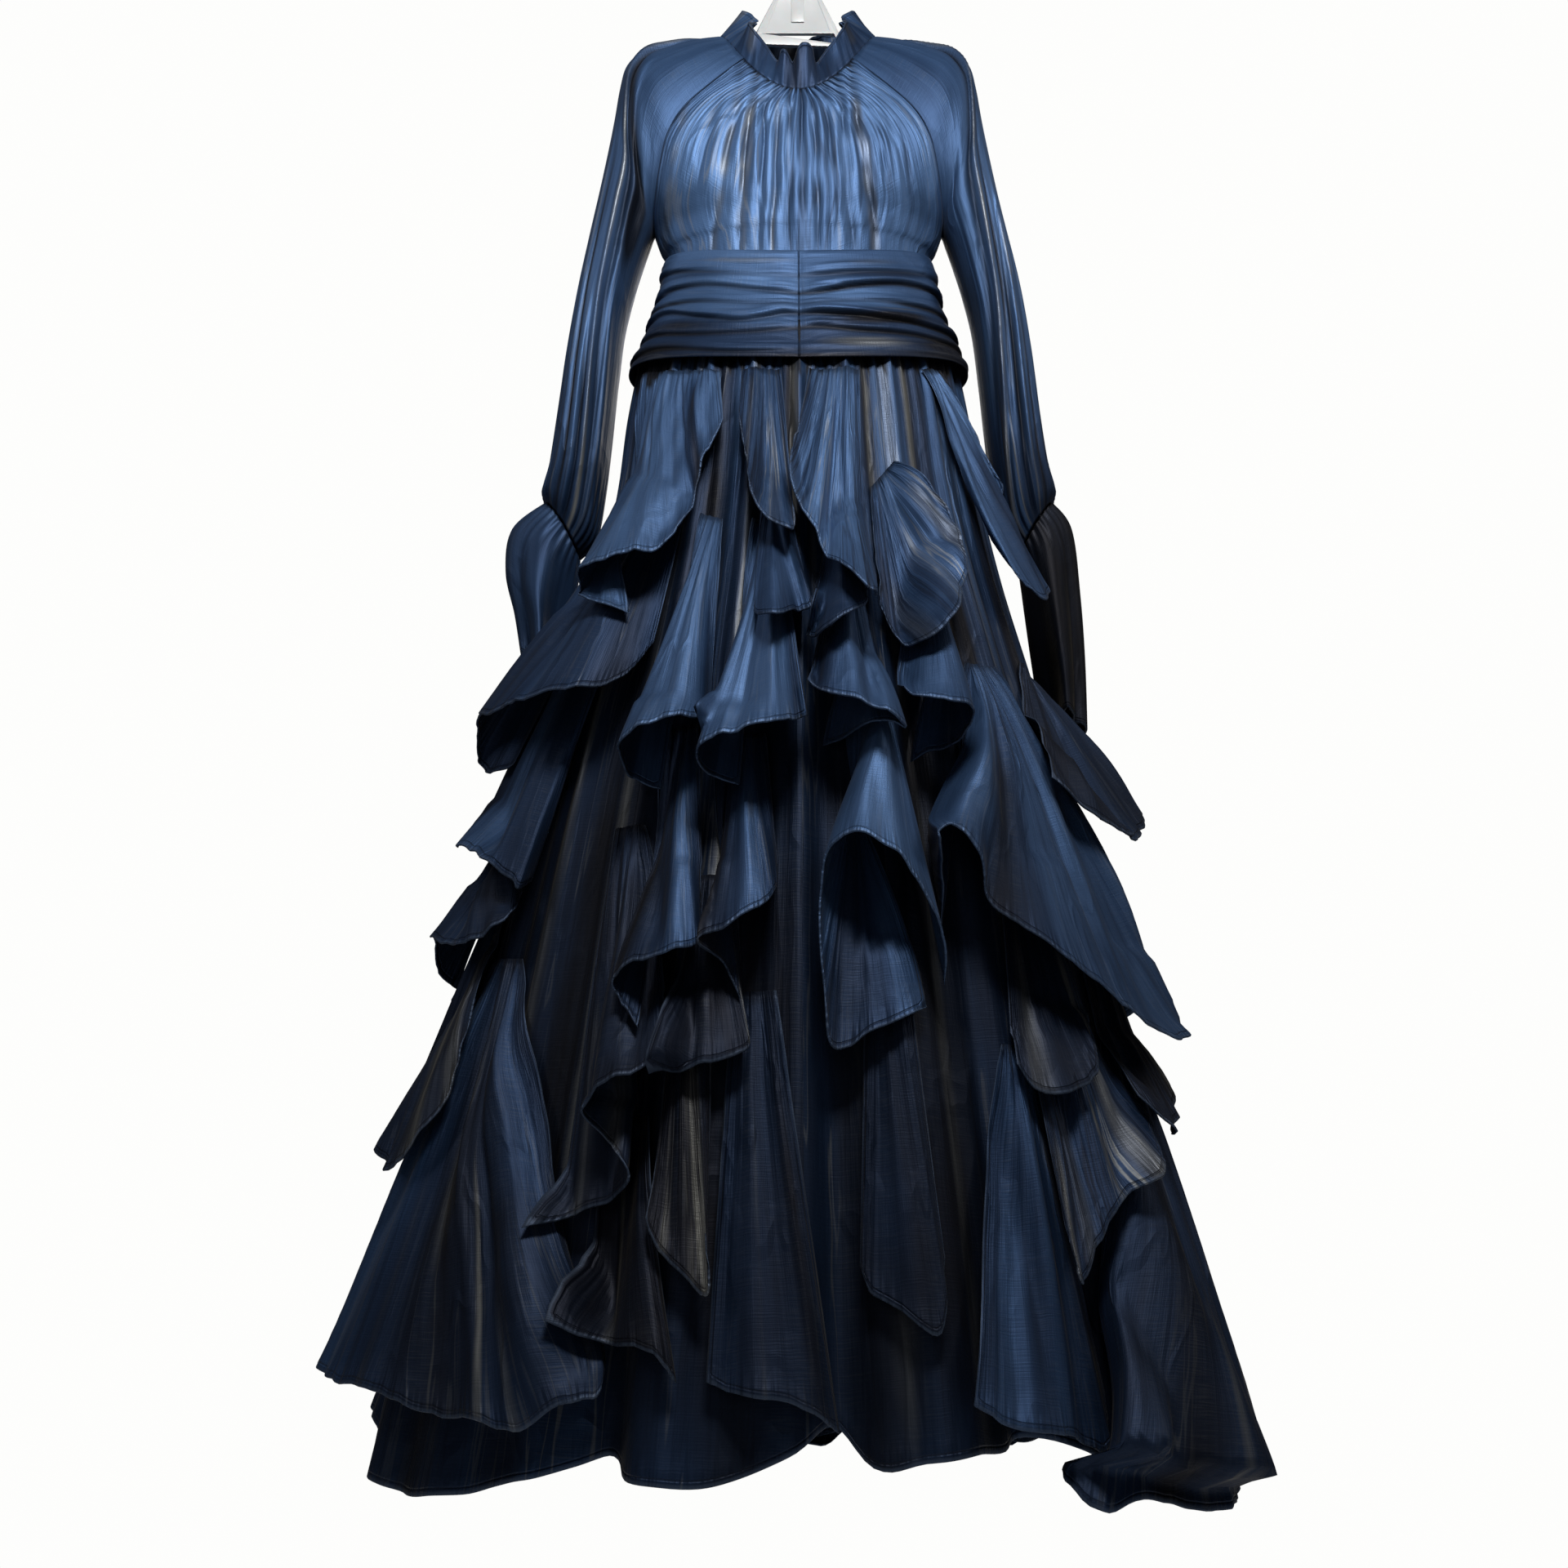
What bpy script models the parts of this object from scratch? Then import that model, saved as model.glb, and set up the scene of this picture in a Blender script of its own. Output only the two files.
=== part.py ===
"""A long ruffled evening dress on its hanger, as closed cloth walls in metres, +Z up.

The origin is the seat of the hanger's hook, the front faces -Y, and the tables give heights above the front hem.
On the skirt a point is placed by its angle round the body (0 at the centre front, +90 at +X), its height and its
stand, the distance out from the plain skirt form. Each flounce is laid over whatever already hangs beneath it.
"""

import math

import bpy
import numpy as np
from mathutils.bvhtree import BVHTree

HOOK_SEAT = 1.700  # height of the hook's seat above the front hem
CLOTH = 0.0012
SEATED = 0.0003  # gap between two walls that touch
SEAM = 0.0007  # half of the space left at a seam
SKIRT_TOP = 1.1275
NAVY = (0.035, 0.075, 0.185)
DEEP_NAVY = (0.018, 0.034, 0.085)

# height, half width, half depth of the plain skirt form
SKIRT_FORM = (
    (1.127, 0.166, 0.076), (1.050, 0.178, 0.093), (0.950, 0.188, 0.115), (0.850, 0.206, 0.135),
    (0.750, 0.230, 0.155), (0.650, 0.254, 0.172), (0.570, 0.270, 0.185), (0.300, 0.312, 0.225),
    (0.000, 0.352, 0.262), (-0.080, 0.360, 0.270),
)

# height, half width, front depth, back depth of the bodice below the underarm
BODICE_FORM = (
    (1.283, 0.1600, 0.070, 0.065), (1.264, 0.1510, 0.066, 0.061), (1.248, 0.1440, 0.062, 0.058),
    (1.190, 0.146, 0.063, 0.060), (1.1282, 0.166, 0.076, 0.076),
)

# top or outer edge x, h; front raglan seam x, h; back raglan seam x, h; half depth; wrap angle; set back
SLEEVE_OPEN = (
    (0.118, 1.5447, 0.100, 1.447, 0.100, 1.505, 0.056, 90, 0.000),
    (0.150, 1.5353, 0.128, 1.412, 0.130, 1.460, 0.062, 100, 0.000),
    (0.178, 1.5270, 0.145, 1.378, 0.148, 1.410, 0.064, 112, 0.000),
    (0.197, 1.508, 0.153, 1.345, 0.155, 1.365, 0.062, 126, 0.001),
    (0.204, 1.478, 0.158, 1.318, 0.158, 1.328, 0.060, 143, 0.002),
    (0.209, 1.438, 0.161, 1.299, 0.161, 1.301, 0.057, 162, 0.003),
)

# outer edge x, h; inner edge x, h; half depth; set back
SLEEVE_TUBE = (
    (0.214, 1.398, 0.1635, 1.284, 0.054, 0.000), (0.223, 1.345, 0.172, 1.258, 0.053, 0.004),
    (0.234, 1.285, 0.182, 1.222, 0.051, 0.008), (0.246, 1.215, 0.192, 1.175, 0.051, 0.013),
    (0.256, 1.140, 0.198, 1.115, 0.053, 0.018), (0.263, 1.070, 0.203, 1.050, 0.055, 0.022),
    (0.270, 1.010, 0.209, 0.985, 0.054, 0.026), (0.277, 0.980, 0.218, 0.930, 0.044, 0.029),
    (0.272, 0.968, 0.235, 0.906, 0.031, 0.030),
)

# outer edge x, h; inner edge x, h; half depth; set back; wave depth, for each arm
CUFF_RIGHT = (
    (0.2725, 0.9665, 0.2355, 0.9045, 0.032, 0.030, 0.001), (0.292, 0.935, 0.240, 0.872, 0.038, 0.034, 0.003),
    (0.296, 0.860, 0.249, 0.815, 0.042, 0.040, 0.006), (0.296, 0.785, 0.258, 0.765, 0.045, 0.045, 0.008),
    (0.294, 0.715, 0.264, 0.725, 0.047, 0.050, 0.010),
)
CUFF_LEFT = (
    (0.2725, 0.9665, 0.2355, 0.9045, 0.032, 0.030, 0.001), (0.306, 0.935, 0.240, 0.872, 0.040, 0.034, 0.004),
    (0.309, 0.885, 0.248, 0.830, 0.045, 0.038, 0.007), (0.296, 0.835, 0.253, 0.795, 0.048, 0.042, 0.010),
    (0.287, 0.790, 0.258, 0.765, 0.051, 0.046, 0.012),
)

# share of the way down the sash, half width, half depth
SASH_FORM = ((0.0, 0.1473, 0.0673), (0.25, 0.152, 0.0720), (0.5, 0.158, 0.078), (0.75, 0.170, 0.087), (1.0, 0.184, 0.099))
SASH_PLEATS = (0.0, 0.17, 0.31, 0.44, 0.60, 0.78, 1.0)  # shares of the height where one pleat tucks under the next

# name: (sewn line from angle, h to angle, h), then the hem from one side edge to the other as angle, height, stand.
# A hem that turns back on itself is a fold that laps over: the cloth under it comes first or last.
FLOUNCES = {
    "flounce_hem_1": ((-66, 0.433, -57, 0.427), (
        (-86, 0.120, 0.030), (-80, 0.072, 0.100), (-66, 0.055, 0.105), (-50, 0.040, 0.095), (-42, 0.022, 0.085),
        (-35, 0.016, 0.080), (-30, 0.008, 0.085), (-25, 0.028, 0.070), (-22, 0.033, 0.050), (-28, 0.080, 0.010))),
    "flounce_hem_2": ((-31, 0.267, -23, 0.264), (
        (-29, 0.091, 0.020), (-24, 0.078, 0.040), (-19, 0.070, 0.055), (-15, 0.060, 0.050), (-14, 0.043, 0.030))),
    "flounce_hem_3": ((-11, 0.370, -4, 0.370), (
        (-11, 0.044, 0.030), (-7, 0.035, 0.060), (-2, 0.028, 0.065), (2, 0.018, 0.050), (4, 0.006, 0.025))),
    "flounce_hem_4": ((32, 0.330, 38, 0.330), (
        (18, 0.026, 0.045), (21, 0.014, 0.075), (26, 0.008, 0.078), (31, 0.004, 0.060), (36, -0.006, 0.040),
        (40, 0.040, 0.010))),
    "flounce_hem_5": ((58, 0.350, 80, 0.350), (
        (36, -0.005, 0.015), (30, -0.030, 0.045), (32, -0.050, 0.068), (37, -0.040, 0.075),
        (45, -0.050, 0.090), (60, -0.040, 0.075), (76, -0.013, 0.060), (84, 0.055, 0.030))),
    "flounce_low_1": ((-84, 0.520, -68, 0.500), (
        (-84, 0.345, 0.020), (-81, 0.290, 0.066), (-70, 0.258, 0.060), (-61, 0.232, 0.050), (-57, 0.277, 0.045),
        (-58, 0.339, 0.035), (-61, 0.400, 0.020))),
    "flounce_low_2": ((-20, 0.360, -14, 0.360), (
        (-19, 0.172, 0.030), (-17, 0.149, 0.040), (-14, 0.128, 0.045), (-11, 0.109, 0.040), (-12, 0.170, 0.020))),
    "flounce_low_3": ((10, 0.400, 16, 0.400), (
        (7, 0.135, 0.025), (8, 0.112, 0.040), (11, 0.100, 0.045), (15, 0.082, 0.040), (17, 0.140, 0.015))),
    "flounce_low_4": ((38, 0.360, 51, 0.360), (
        (34, 0.170, 0.020), (33, 0.123, 0.045), (38, 0.160, 0.060), (43, 0.194, 0.064), (50, 0.225, 0.055),
        (57, 0.278, 0.030))),
    "flounce_low_5": ((57, 0.430, 76, 0.430), (
        (53, 0.292, 0.020), (55, 0.260, 0.045), (62, 0.276, 0.058), (68, 0.310, 0.045), (70, 0.350, 0.020))),
    "flounce_low_6": ((38, 0.500, 47, 0.500), (
        (32, 0.310, 0.020), (33, 0.286, 0.040), (37, 0.283, 0.050), (42, 0.297, 0.050), (45, 0.312, 0.035),
        (49, 0.370, 0.015))),
    "flounce_mid_1": ((-37, 0.540, -30, 0.540), (
        (-35, 0.167, 0.010), (-31, 0.179, 0.020), (-25, 0.190, 0.025), (-21, 0.204, 0.030), (-25, 0.235, 0.042),
        (-30, 0.262, 0.060), (-27, 0.279, 0.075), (-21, 0.292, 0.078), (-17, 0.312, 0.050))),
    "flounce_mid_2": ((-18, 0.480, -12, 0.480), (
        (-19, 0.288, 0.025), (-15, 0.297, 0.045), (-11, 0.303, 0.052), (-7, 0.312, 0.045), (-9, 0.346, 0.015))),
    "flounce_mid_3": ((-30, 0.640, -21, 0.640), (
        (-21, 0.331, 0.000), (-24, 0.350, 0.020), (-26, 0.375, 0.050), (-22, 0.389, 0.080), (-17, 0.394, 0.085),
        (-14, 0.400, 0.060), (-15, 0.430, 0.020))),
    "flounce_mid_4": ((-17, 0.625, -7, 0.625), (
        (-8, 0.359, 0.000), (-11, 0.387, 0.020), (-14, 0.403, 0.055), (-11, 0.415, 0.078), (-7, 0.430, 0.080),
        (-4, 0.448, 0.055), (-4, 0.487, 0.015))),
    "flounce_fall_1": ((-82, 0.600, -72, 0.590), (
        (-84, 0.420, 0.010), (-82, 0.438, 0.045), (-80, 0.462, 0.068), (-67, 0.446, 0.070), (-58, 0.440, 0.060),
        (-53, 0.459, 0.040), (-59, 0.492, 0.015))),
    "flounce_fall_2": ((-82, 0.800, -48, 0.780), (
        (-86, 0.600, 0.025), (-81, 0.566, 0.062), (-66, 0.540, 0.070), (-55, 0.510, 0.055), (-51, 0.486, 0.040),
        (-56, 0.500, 0.015))),
    "flounce_fall_3": ((10, 0.690, 17, 0.690), (
        (21, 0.354, 0.010), (15, 0.340, 0.020), (10, 0.328, 0.030), (4, 0.311, 0.040), (2, 0.367, 0.045),
        (1, 0.449, 0.050), (2, 0.488, 0.070), (6, 0.497, 0.095), (11, 0.482, 0.095), (16, 0.446, 0.080),
        (20, 0.405, 0.055), (21, 0.375, 0.025))),
    "flounce_fall_4": ((41, 0.720, 49, 0.720), (
        (24, 0.430, 0.010), (20, 0.475, 0.030), (17, 0.505, 0.064), (19, 0.514, 0.084), (24, 0.486, 0.080),
        (26, 0.449, 0.060), (33, 0.420, 0.062), (44, 0.380, 0.072), (56, 0.350, 0.072), (70, 0.362, 0.068),
        (81, 0.436, 0.040))),
    "flounce_fall_5": ((66, 0.745, 79, 0.742), (
        (49, 0.595, 0.015), (60, 0.560, 0.045), (72, 0.556, 0.060), (82, 0.580, 0.076), (88, 0.605, 0.078),
        (86, 0.680, 0.035))),
    "flounce_hip_1": ((-68, 0.960, -34, 0.900), (
        (-70, 0.640, 0.000), (-80, 0.638, 0.020), (-85, 0.656, 0.060), (-79, 0.684, 0.082), (-62, 0.672, 0.085),
        (-50, 0.673, 0.080), (-41, 0.674, 0.072), (-34, 0.686, 0.045), (-33, 0.732, 0.015))),
    "flounce_hip_2": ((-29, 0.885, -22, 0.875), (
        (-25, 0.570, 0.008), (-30, 0.577, 0.030), (-30, 0.594, 0.070), (-26, 0.609, 0.090),
        (-20, 0.615, 0.092), (-16, 0.622, 0.060), (-17, 0.650, 0.020))),
    "flounce_hip_3": ((-13, 0.870, -5, 0.865), (
        (-9, 0.560, 0.010), (-13, 0.566, 0.035), (-17, 0.577, 0.065),
        (-15, 0.589, 0.088), (-9, 0.597, 0.095), (-3, 0.608, 0.085), (1, 0.625, 0.050))),
    "flounce_hip_4": ((10, 0.870, 17, 0.870), (
        (1, 0.658, 0.045), (4, 0.641, 0.075), (9, 0.630, 0.088), (14, 0.616, 0.085), (17, 0.607, 0.065),
        (13, 0.612, 0.040), (8, 0.616, 0.020), (2, 0.613, 0.000))),
    "flounce_hip_5": ((31, 0.830, 38, 0.830), (
        (17, 0.655, 0.040), (19, 0.643, 0.075), (23, 0.637, 0.088), (28, 0.636, 0.078), (31, 0.631, 0.050),
        (28, 0.612, 0.025), (23, 0.607, 0.010), (20, 0.600, 0.000))),
    "flounce_waist_1": ((-73, 1.097, -27, 1.066), (
        (-34, 0.756, 0.012), (-42, 0.772, 0.020), (-49, 0.785, 0.040), (-49, 0.801, 0.065), (-42, 0.808, 0.080),
        (-35, 0.815, 0.082), (-30, 0.815, 0.062), (-26, 0.850, 0.045), (-26, 0.925, 0.032), (-22, 0.990, 0.022))),
    "flounce_waist_2": ((-11, 0.905, -4, 0.900), (
        (-9, 0.757, 0.025), (-8, 0.728, 0.045), (-4, 0.722, 0.058), (-1, 0.735, 0.058), (2, 0.742, 0.045),
        (1, 0.780, 0.020))),
    "flounce_waist_3": ((-19, 1.064, -6, 1.062), (
        (-17, 0.996, 0.022), (-14, 0.936, 0.035), (-10, 0.866, 0.050), (-6, 0.838, 0.058), (-2, 0.824, 0.052),
        (-2, 0.874, 0.030))),
    "flounce_waist_4": ((7, 0.850, 14, 0.850), (
        (1, 0.720, 0.020), (3, 0.710, 0.050), (7, 0.720, 0.060), (11, 0.736, 0.056), (14, 0.775, 0.025))),
    "flounce_waist_5": ((3, 1.062, 20, 1.064), (
        (0, 0.980, 0.018), (-2, 0.930, 0.033), (-2, 0.890, 0.042), (0, 0.858, 0.048), (3, 0.830, 0.055),
        (5, 0.794, 0.060), (8, 0.766, 0.064), (11, 0.742, 0.060), (13, 0.746, 0.045), (16, 0.791, 0.015))),
    "flounce_waist_6": ((21, 0.913, 29, 0.948), (
        (17, 0.770, 0.012), (21, 0.706, 0.042), (26, 0.730, 0.055), (31, 0.763, 0.060), (35, 0.793, 0.058),
        (37, 0.829, 0.052), (38, 0.862, 0.045), (37, 0.890, 0.038), (34, 0.925, 0.025))),
    "flounce_waist_7": ((46, 1.080, 59, 1.090), (
        (64, 0.880, 0.015), (61, 0.830, 0.038), (66, 0.812, 0.050), (75, 0.830, 0.050), (72, 0.900, 0.038),
        (67, 0.963, 0.028), (62, 1.021, 0.018))),
}

# the back is cut like the front: first and last angle, sewn height, hem height, stand; two folds in each
BACK_FLOUNCES = {
    "flounce_back_hem_1": (96, 152, 0.42, 0.030, 0.090),
    "flounce_back_hem_2": (150, 210, 0.44, 0.034, 0.085),
    "flounce_back_hem_3": (208, 264, 0.42, 0.022, 0.090),
    "flounce_back_low_1": (102, 174, 0.60, 0.240, 0.080),
    "flounce_back_low_2": (186, 262, 0.60, 0.215, 0.080),
    "flounce_back_mid_1": (98, 158, 0.78, 0.430, 0.078),
    "flounce_back_mid_2": (150, 212, 0.76, 0.400, 0.080),
    "flounce_back_mid_3": (206, 262, 0.78, 0.425, 0.078),
    "flounce_back_hip_1": (110, 178, 0.94, 0.625, 0.075),
    "flounce_back_hip_2": (184, 252, 0.94, 0.605, 0.075),
    "flounce_back_waist_1": (118, 176, 1.095, 0.845, 0.055),
    "flounce_back_waist_2": (184, 244, 1.095, 0.830, 0.055),
}

# shares of a fold's width, its drop below the hem height in metres, and its share of the stand
BACK_FOLD = (
    (0.14, 0.022, 0.05), (0.00, 0.008, 0.48), (0.22, -0.006, 0.92), (0.60, -0.008, 1.00), (0.88, 0.004, 0.50),
    (0.97, 0.020, 0.12),
)

SKIRT_FOLDS = 22
# degrees round, height and stand of the skirt's own hem: rounded lobes with a sharp step between them
SKIRT_HEM = (
    (-90, 0.006, 0.004), (-80, -0.014, 0.022), (-68, -0.024, 0.036), (-55, -0.040, 0.034), (-42, -0.034, 0.024),
    (-30, -0.018, 0.010), (-25, -0.010, 0.002), (-21, -0.026, 0.030), (-15, -0.034, 0.042), (-8, -0.028, 0.042),
    (-1, -0.008, 0.026), (4, 0.012, 0.002), (8, -0.018, 0.026), (14, -0.016, 0.036), (20, -0.008, 0.034),
    (25, -0.008, 0.022), (29, 0.006, 0.002), (36, -0.006, 0.020), (50, -0.020, 0.034), (62, -0.014, 0.026),
    (74, 0.008, 0.006), (90, 0.004, 0.008), (108, 0.004, 0.026), (126, 0.032, 0.002), (144, 0.010, 0.036),
    (162, 0.037, 0.002), (180, 0.014, 0.038), (198, 0.038, 0.002), (216, 0.012, 0.038), (234, 0.034, 0.002),
    (252, 0.004, 0.034), (270, 0.006, 0.004),
)
FLOUNCE_ROWS = (0.0, 0.24, 0.52, 0.78, 1.0)  # shares of the way from the sewn line to the hem
HEM_STEP = 0.046
LAP_START = 0.25  # share of the fall where a fold begins to lap over
LAP_DEPTH = 0.5  # how far a fold laps over, as a share of the turn back in its hem


def clear_scene():
    for leftover in list(bpy.data.objects):
        bpy.data.objects.remove(leftover)


def material(name, colour, roughness, metallic=0.0):
    made = bpy.data.materials.new(name)
    made.use_nodes = True
    shader = made.node_tree.nodes["Principled BSDF"]
    shader.inputs["Base Color"].default_value = (*colour, 1.0)
    shader.inputs["Roughness"].default_value = roughness
    shader.inputs["Metallic"].default_value = metallic
    return made


def smooth_along(table, key):
    """Reads every column of a table at one key, by Catmull-Rom through its rows. The first column may fall or rise."""
    rows = np.array(table, float)
    if rows[0, 0] > rows[-1, 0]:
        rows = rows[::-1]
    keys = rows[:, 0]
    key = np.clip(key, keys[0], keys[-1])
    slopes = np.gradient(rows[:, 1:], keys, axis=0)
    i = np.clip(np.searchsorted(keys, key, side="right") - 1, 0, len(keys) - 2)
    span = (keys[i + 1] - keys[i])[..., None]
    t = (key - keys[i])[..., None] / span
    start, end = rows[i, 1:], rows[i + 1, 1:]
    return (
        (2 * t**3 - 3 * t**2 + 1) * start + (t**3 - 2 * t**2 + t) * slopes[i] * span
        + (3 * t**2 - 2 * t**3) * end + (t**3 - t**2) * slopes[i + 1] * span
    )


def vertex_normals(points, faces):
    normals = np.zeros_like(points)
    for face in faces:
        corner = points[list(face)]
        normal = np.cross(corner[2] - corner[0], corner[-1] - corner[1])
        for index in face:
            normals[index] += normal
    return normals / np.linalg.norm(normals, axis=1)[:, None]


def cloth_wall(name, points, faces, finish, thickness=CLOTH):
    """Makes a surface of outward-facing faces into a closed wall, half its thickness to each side."""
    normals = vertex_normals(points, faces)
    count = len(points)
    vertices = np.concatenate([points + normals * thickness / 2, points - normals * thickness / 2])
    used = {}
    for face in faces:
        for a, b in zip(face, face[1:] + face[:1]):
            used[a, b] = True
    rim = [(b, a, a + count, b + count) for a, b in used if (b, a) not in used]
    inside = [tuple(index + count for index in reversed(face)) for face in faces]
    mesh = bpy.data.meshes.new(name)
    mesh.from_pydata((vertices - [0, 0, HOOK_SEAT]).tolist(), [], list(faces) + inside + rim)
    mesh.update()
    mesh.shade_smooth()
    mesh.set_sharp_from_angle(angle=math.radians(50))
    mesh.materials.append(finish)
    made = bpy.data.objects.new(name, mesh)
    bpy.context.scene.collection.objects.link(made)
    return made


def grid_faces(rows, columns, closed_from=None):
    """Triangles of a grid, facing out when its columns run towards +X at the front and its rows run down.

    From the row closed_from on, the last column is the first one again."""
    faces = []
    for i in range(rows - 1):
        for j in range(columns - 1):
            for corners in (((i, j), (i + 1, j), (i + 1, j + 1)), ((i, j), (i + 1, j + 1), (i, j + 1))):
                face = []
                for row, column in corners:
                    if closed_from is not None and row >= closed_from and column == columns - 1:
                        column = 0
                    face.append(row * columns + column)
                if len(set(face)) == 3:
                    faces.append(tuple(face))
    return faces


def grid_wall(name, grid, finish, closed_from=None, flip=False):
    rows, columns = grid.shape[:2]
    faces = grid_faces(rows, columns, closed_from)
    used = sorted({index for face in faces for index in face})
    place = {index: k for k, index in enumerate(used)}
    faces = [tuple(place[index] for index in face) for face in faces]
    if flip:
        faces = [tuple(reversed(face)) for face in faces]
    return cloth_wall(name, grid.reshape(-1, 3)[used], faces, finish)


# Neck, bodice, sleeves

NECK_HALF_WIDTH = 0.090
NECK_HALF_DEPTH = 0.064
NECK_FRONT = 1.437
NECK_SIDE = 1.553
FRONT_SEAM_ANGLE = 43.0
BACK_SEAM_ANGLE = 138.0


def neck_point(angle):
    """A point of the neck seam, at an angle in degrees round the neck from the centre front."""
    turn = np.radians(angle)
    rise = np.where(np.abs(angle) < 90, np.sin(turn) ** 2, 1.0)
    return np.stack([
        NECK_HALF_WIDTH * np.sin(turn), -NECK_HALF_DEPTH * np.cos(turn), NECK_FRONT + (NECK_SIDE - NECK_FRONT) * rise,
    ], axis=-1)


def sleeve_ring(row, share):
    """Points of one sleeve row, share 0 at the front seam and 1 at the back seam, over the top or outer edge."""
    outer_x, outer_h, front_x, front_h, back_x, back_h, depth, wrap, set_back = row
    turn = np.radians(wrap) * (2 * share - 1)
    hold = math.cos(math.radians(wrap))
    outer = np.array([outer_x, outer_h])
    points = np.zeros((len(share), 3))
    for side, seam in ((turn <= 0, (front_x, front_h)), (turn > 0, (back_x, back_h))):
        centre = (np.array(seam) - outer * hold) / (1 - hold)
        across = centre + (outer - centre) * np.cos(turn)[:, None]
        points[side, 0] = across[side, 0]
        points[side, 2] = across[side, 1]
    points[:, 1] = depth * np.sin(turn) + set_back
    return points


def sleeve_rows(columns):
    """The right sleeve as rows from the neck to the cuff, and the index of its underarm row."""
    share = np.linspace(0, 1, columns)
    rows = [neck_point(FRONT_SEAM_ANGLE + (BACK_SEAM_ANGLE - FRONT_SEAM_ANGLE) * share)]
    rows += [sleeve_ring(row, share) for row in SLEEVE_OPEN]
    underarm = len(rows)
    for outer_x, outer_h, inner_x, inner_h, depth, set_back in SLEEVE_TUBE:
        row = (outer_x, outer_h, inner_x, inner_h, inner_x, inner_h, depth, 180, set_back)
        rows.append(sleeve_ring(row, share))
    return np.array(rows), underarm


def sleeve(name, side, finish, columns=17, folds=5, fold_depth=0.005):
    rows, underarm = sleeve_rows(columns)
    share = np.linspace(0, 1, columns)
    below = np.arange(len(rows)) - underarm
    fullness = np.clip(below / 6, 0, 1) * np.where(below == len(rows) - 1 - underarm, 0.35, 1.0)
    middle = rows.mean(axis=1, keepdims=True)
    outward = rows - middle
    outward /= np.linalg.norm(outward, axis=2, keepdims=True)
    wave = np.cos(2 * math.pi * folds * share)
    rows = rows + outward * (fold_depth * fullness[:, None] * wave[None, :])[..., None]
    open_part = rows[:underarm]
    along = np.stack([open_part[:, 1] - open_part[:, 0], open_part[:, -2] - open_part[:, -1]])
    along /= np.linalg.norm(along, axis=2, keepdims=True)
    rows[:underarm, 0] += along[0] * SEAM
    rows[:underarm, -1] += along[1] * SEAM
    rows[0, :, 2] -= SEAM
    rows[:, :, 0] *= side
    return grid_wall(name, rows, finish, closed_from=underarm, flip=side < 0)


def cuff(name, side, table, finish, columns=17, waves=4):
    """The flared cuff below the gathered sleeve end, a waved bell open at the bottom."""
    share = np.linspace(0, 1, columns)
    rows = []
    for outer_x, outer_h, inner_x, inner_h, depth, set_back, wave in table:
        ring = sleeve_ring((outer_x, outer_h, inner_x, inner_h, inner_x, inner_h, depth, 180, set_back), share)
        outward = ring - ring[:-1].mean(axis=0)
        outward /= np.linalg.norm(outward, axis=1, keepdims=True)
        rows.append(ring + outward * (wave * np.cos(2 * math.pi * waves * share + 0.6))[:, None])
    rows = np.array(rows)
    rows[:, -1] = rows[:, 0]
    rows[0, :, 2] -= SEAM
    rows[:, :, 0] *= side
    return grid_wall(name, rows, finish, closed_from=0, flip=side < 0)


def bodice_panel(name, front, finish, columns, gathers, gather_depth):
    """The front or back between the raglan seams, then between the side seams, down to the waist seam."""
    facing = -1 if front else 1
    seam_angle = FRONT_SEAM_ANGLE if front else BACK_SEAM_ANGLE
    u = np.linspace(-1, 1, columns)
    seam_rows, underarm = sleeve_rows(17)
    edge = seam_rows[:underarm, 0 if front else -1]
    rows = []
    for i in range(underarm):
        x, y, h = edge[i]
        if i == 0:
            half_turn = seam_angle if front else 180 - seam_angle
            rows.append(neck_point(u * half_turn if front else 180 - u * half_turn))
            continue
        fade = 1 - i / underarm
        depth = np.interp(h, (1.28, 1.34, 1.45, 1.56), (0.071, 0.074, 0.068, 0.060))
        centre_h = h - (0.043 if front else 0.0) * fade**1.5
        bow = np.cos(math.pi * u / 2)
        rows.append(np.stack([
            x * np.sin(math.pi * u / 2), y + (facing * depth - y) * bow, h + (centre_h - h) * bow,
        ], axis=-1))
    for h, half_width, front_depth, back_depth in BODICE_FORM:
        depth = front_depth if front else back_depth
        turn = math.pi * u / 2
        rows.append(np.stack([half_width * np.sin(turn), facing * depth * np.cos(turn), np.full(columns, h)], axis=-1))
    rows = np.array(rows)
    fall = np.linspace(0, 1, len(rows))
    strength = gather_depth * np.interp(rows[:, :, 2].mean(axis=1), (1.243, 1.262, 1.33, 1.44, 1.50), (0, 0.35, 1, 1, 0.6))
    spread = np.clip(1.15 - np.abs(u) * 1.25, 0, 1) ** 0.7
    wave = np.cos(math.pi * gathers * u) * spread
    rows[:, :, 1] += facing * strength[:, None] * wave[None, :]
    inward = np.interp(rows[:, 0, 2], (1.25, 1.285, 1.30, 1.35), (0, 0.0022, 0.0022, SEAM))
    rows[:, 0, 0] += inward
    rows[:, -1, 0] -= inward
    rows[:, 0, 1] += facing * SEAM
    rows[:, -1, 1] += facing * SEAM
    rows[0, :, 2] -= SEAM
    return grid_wall(name, rows, finish, flip=not front)


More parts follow.
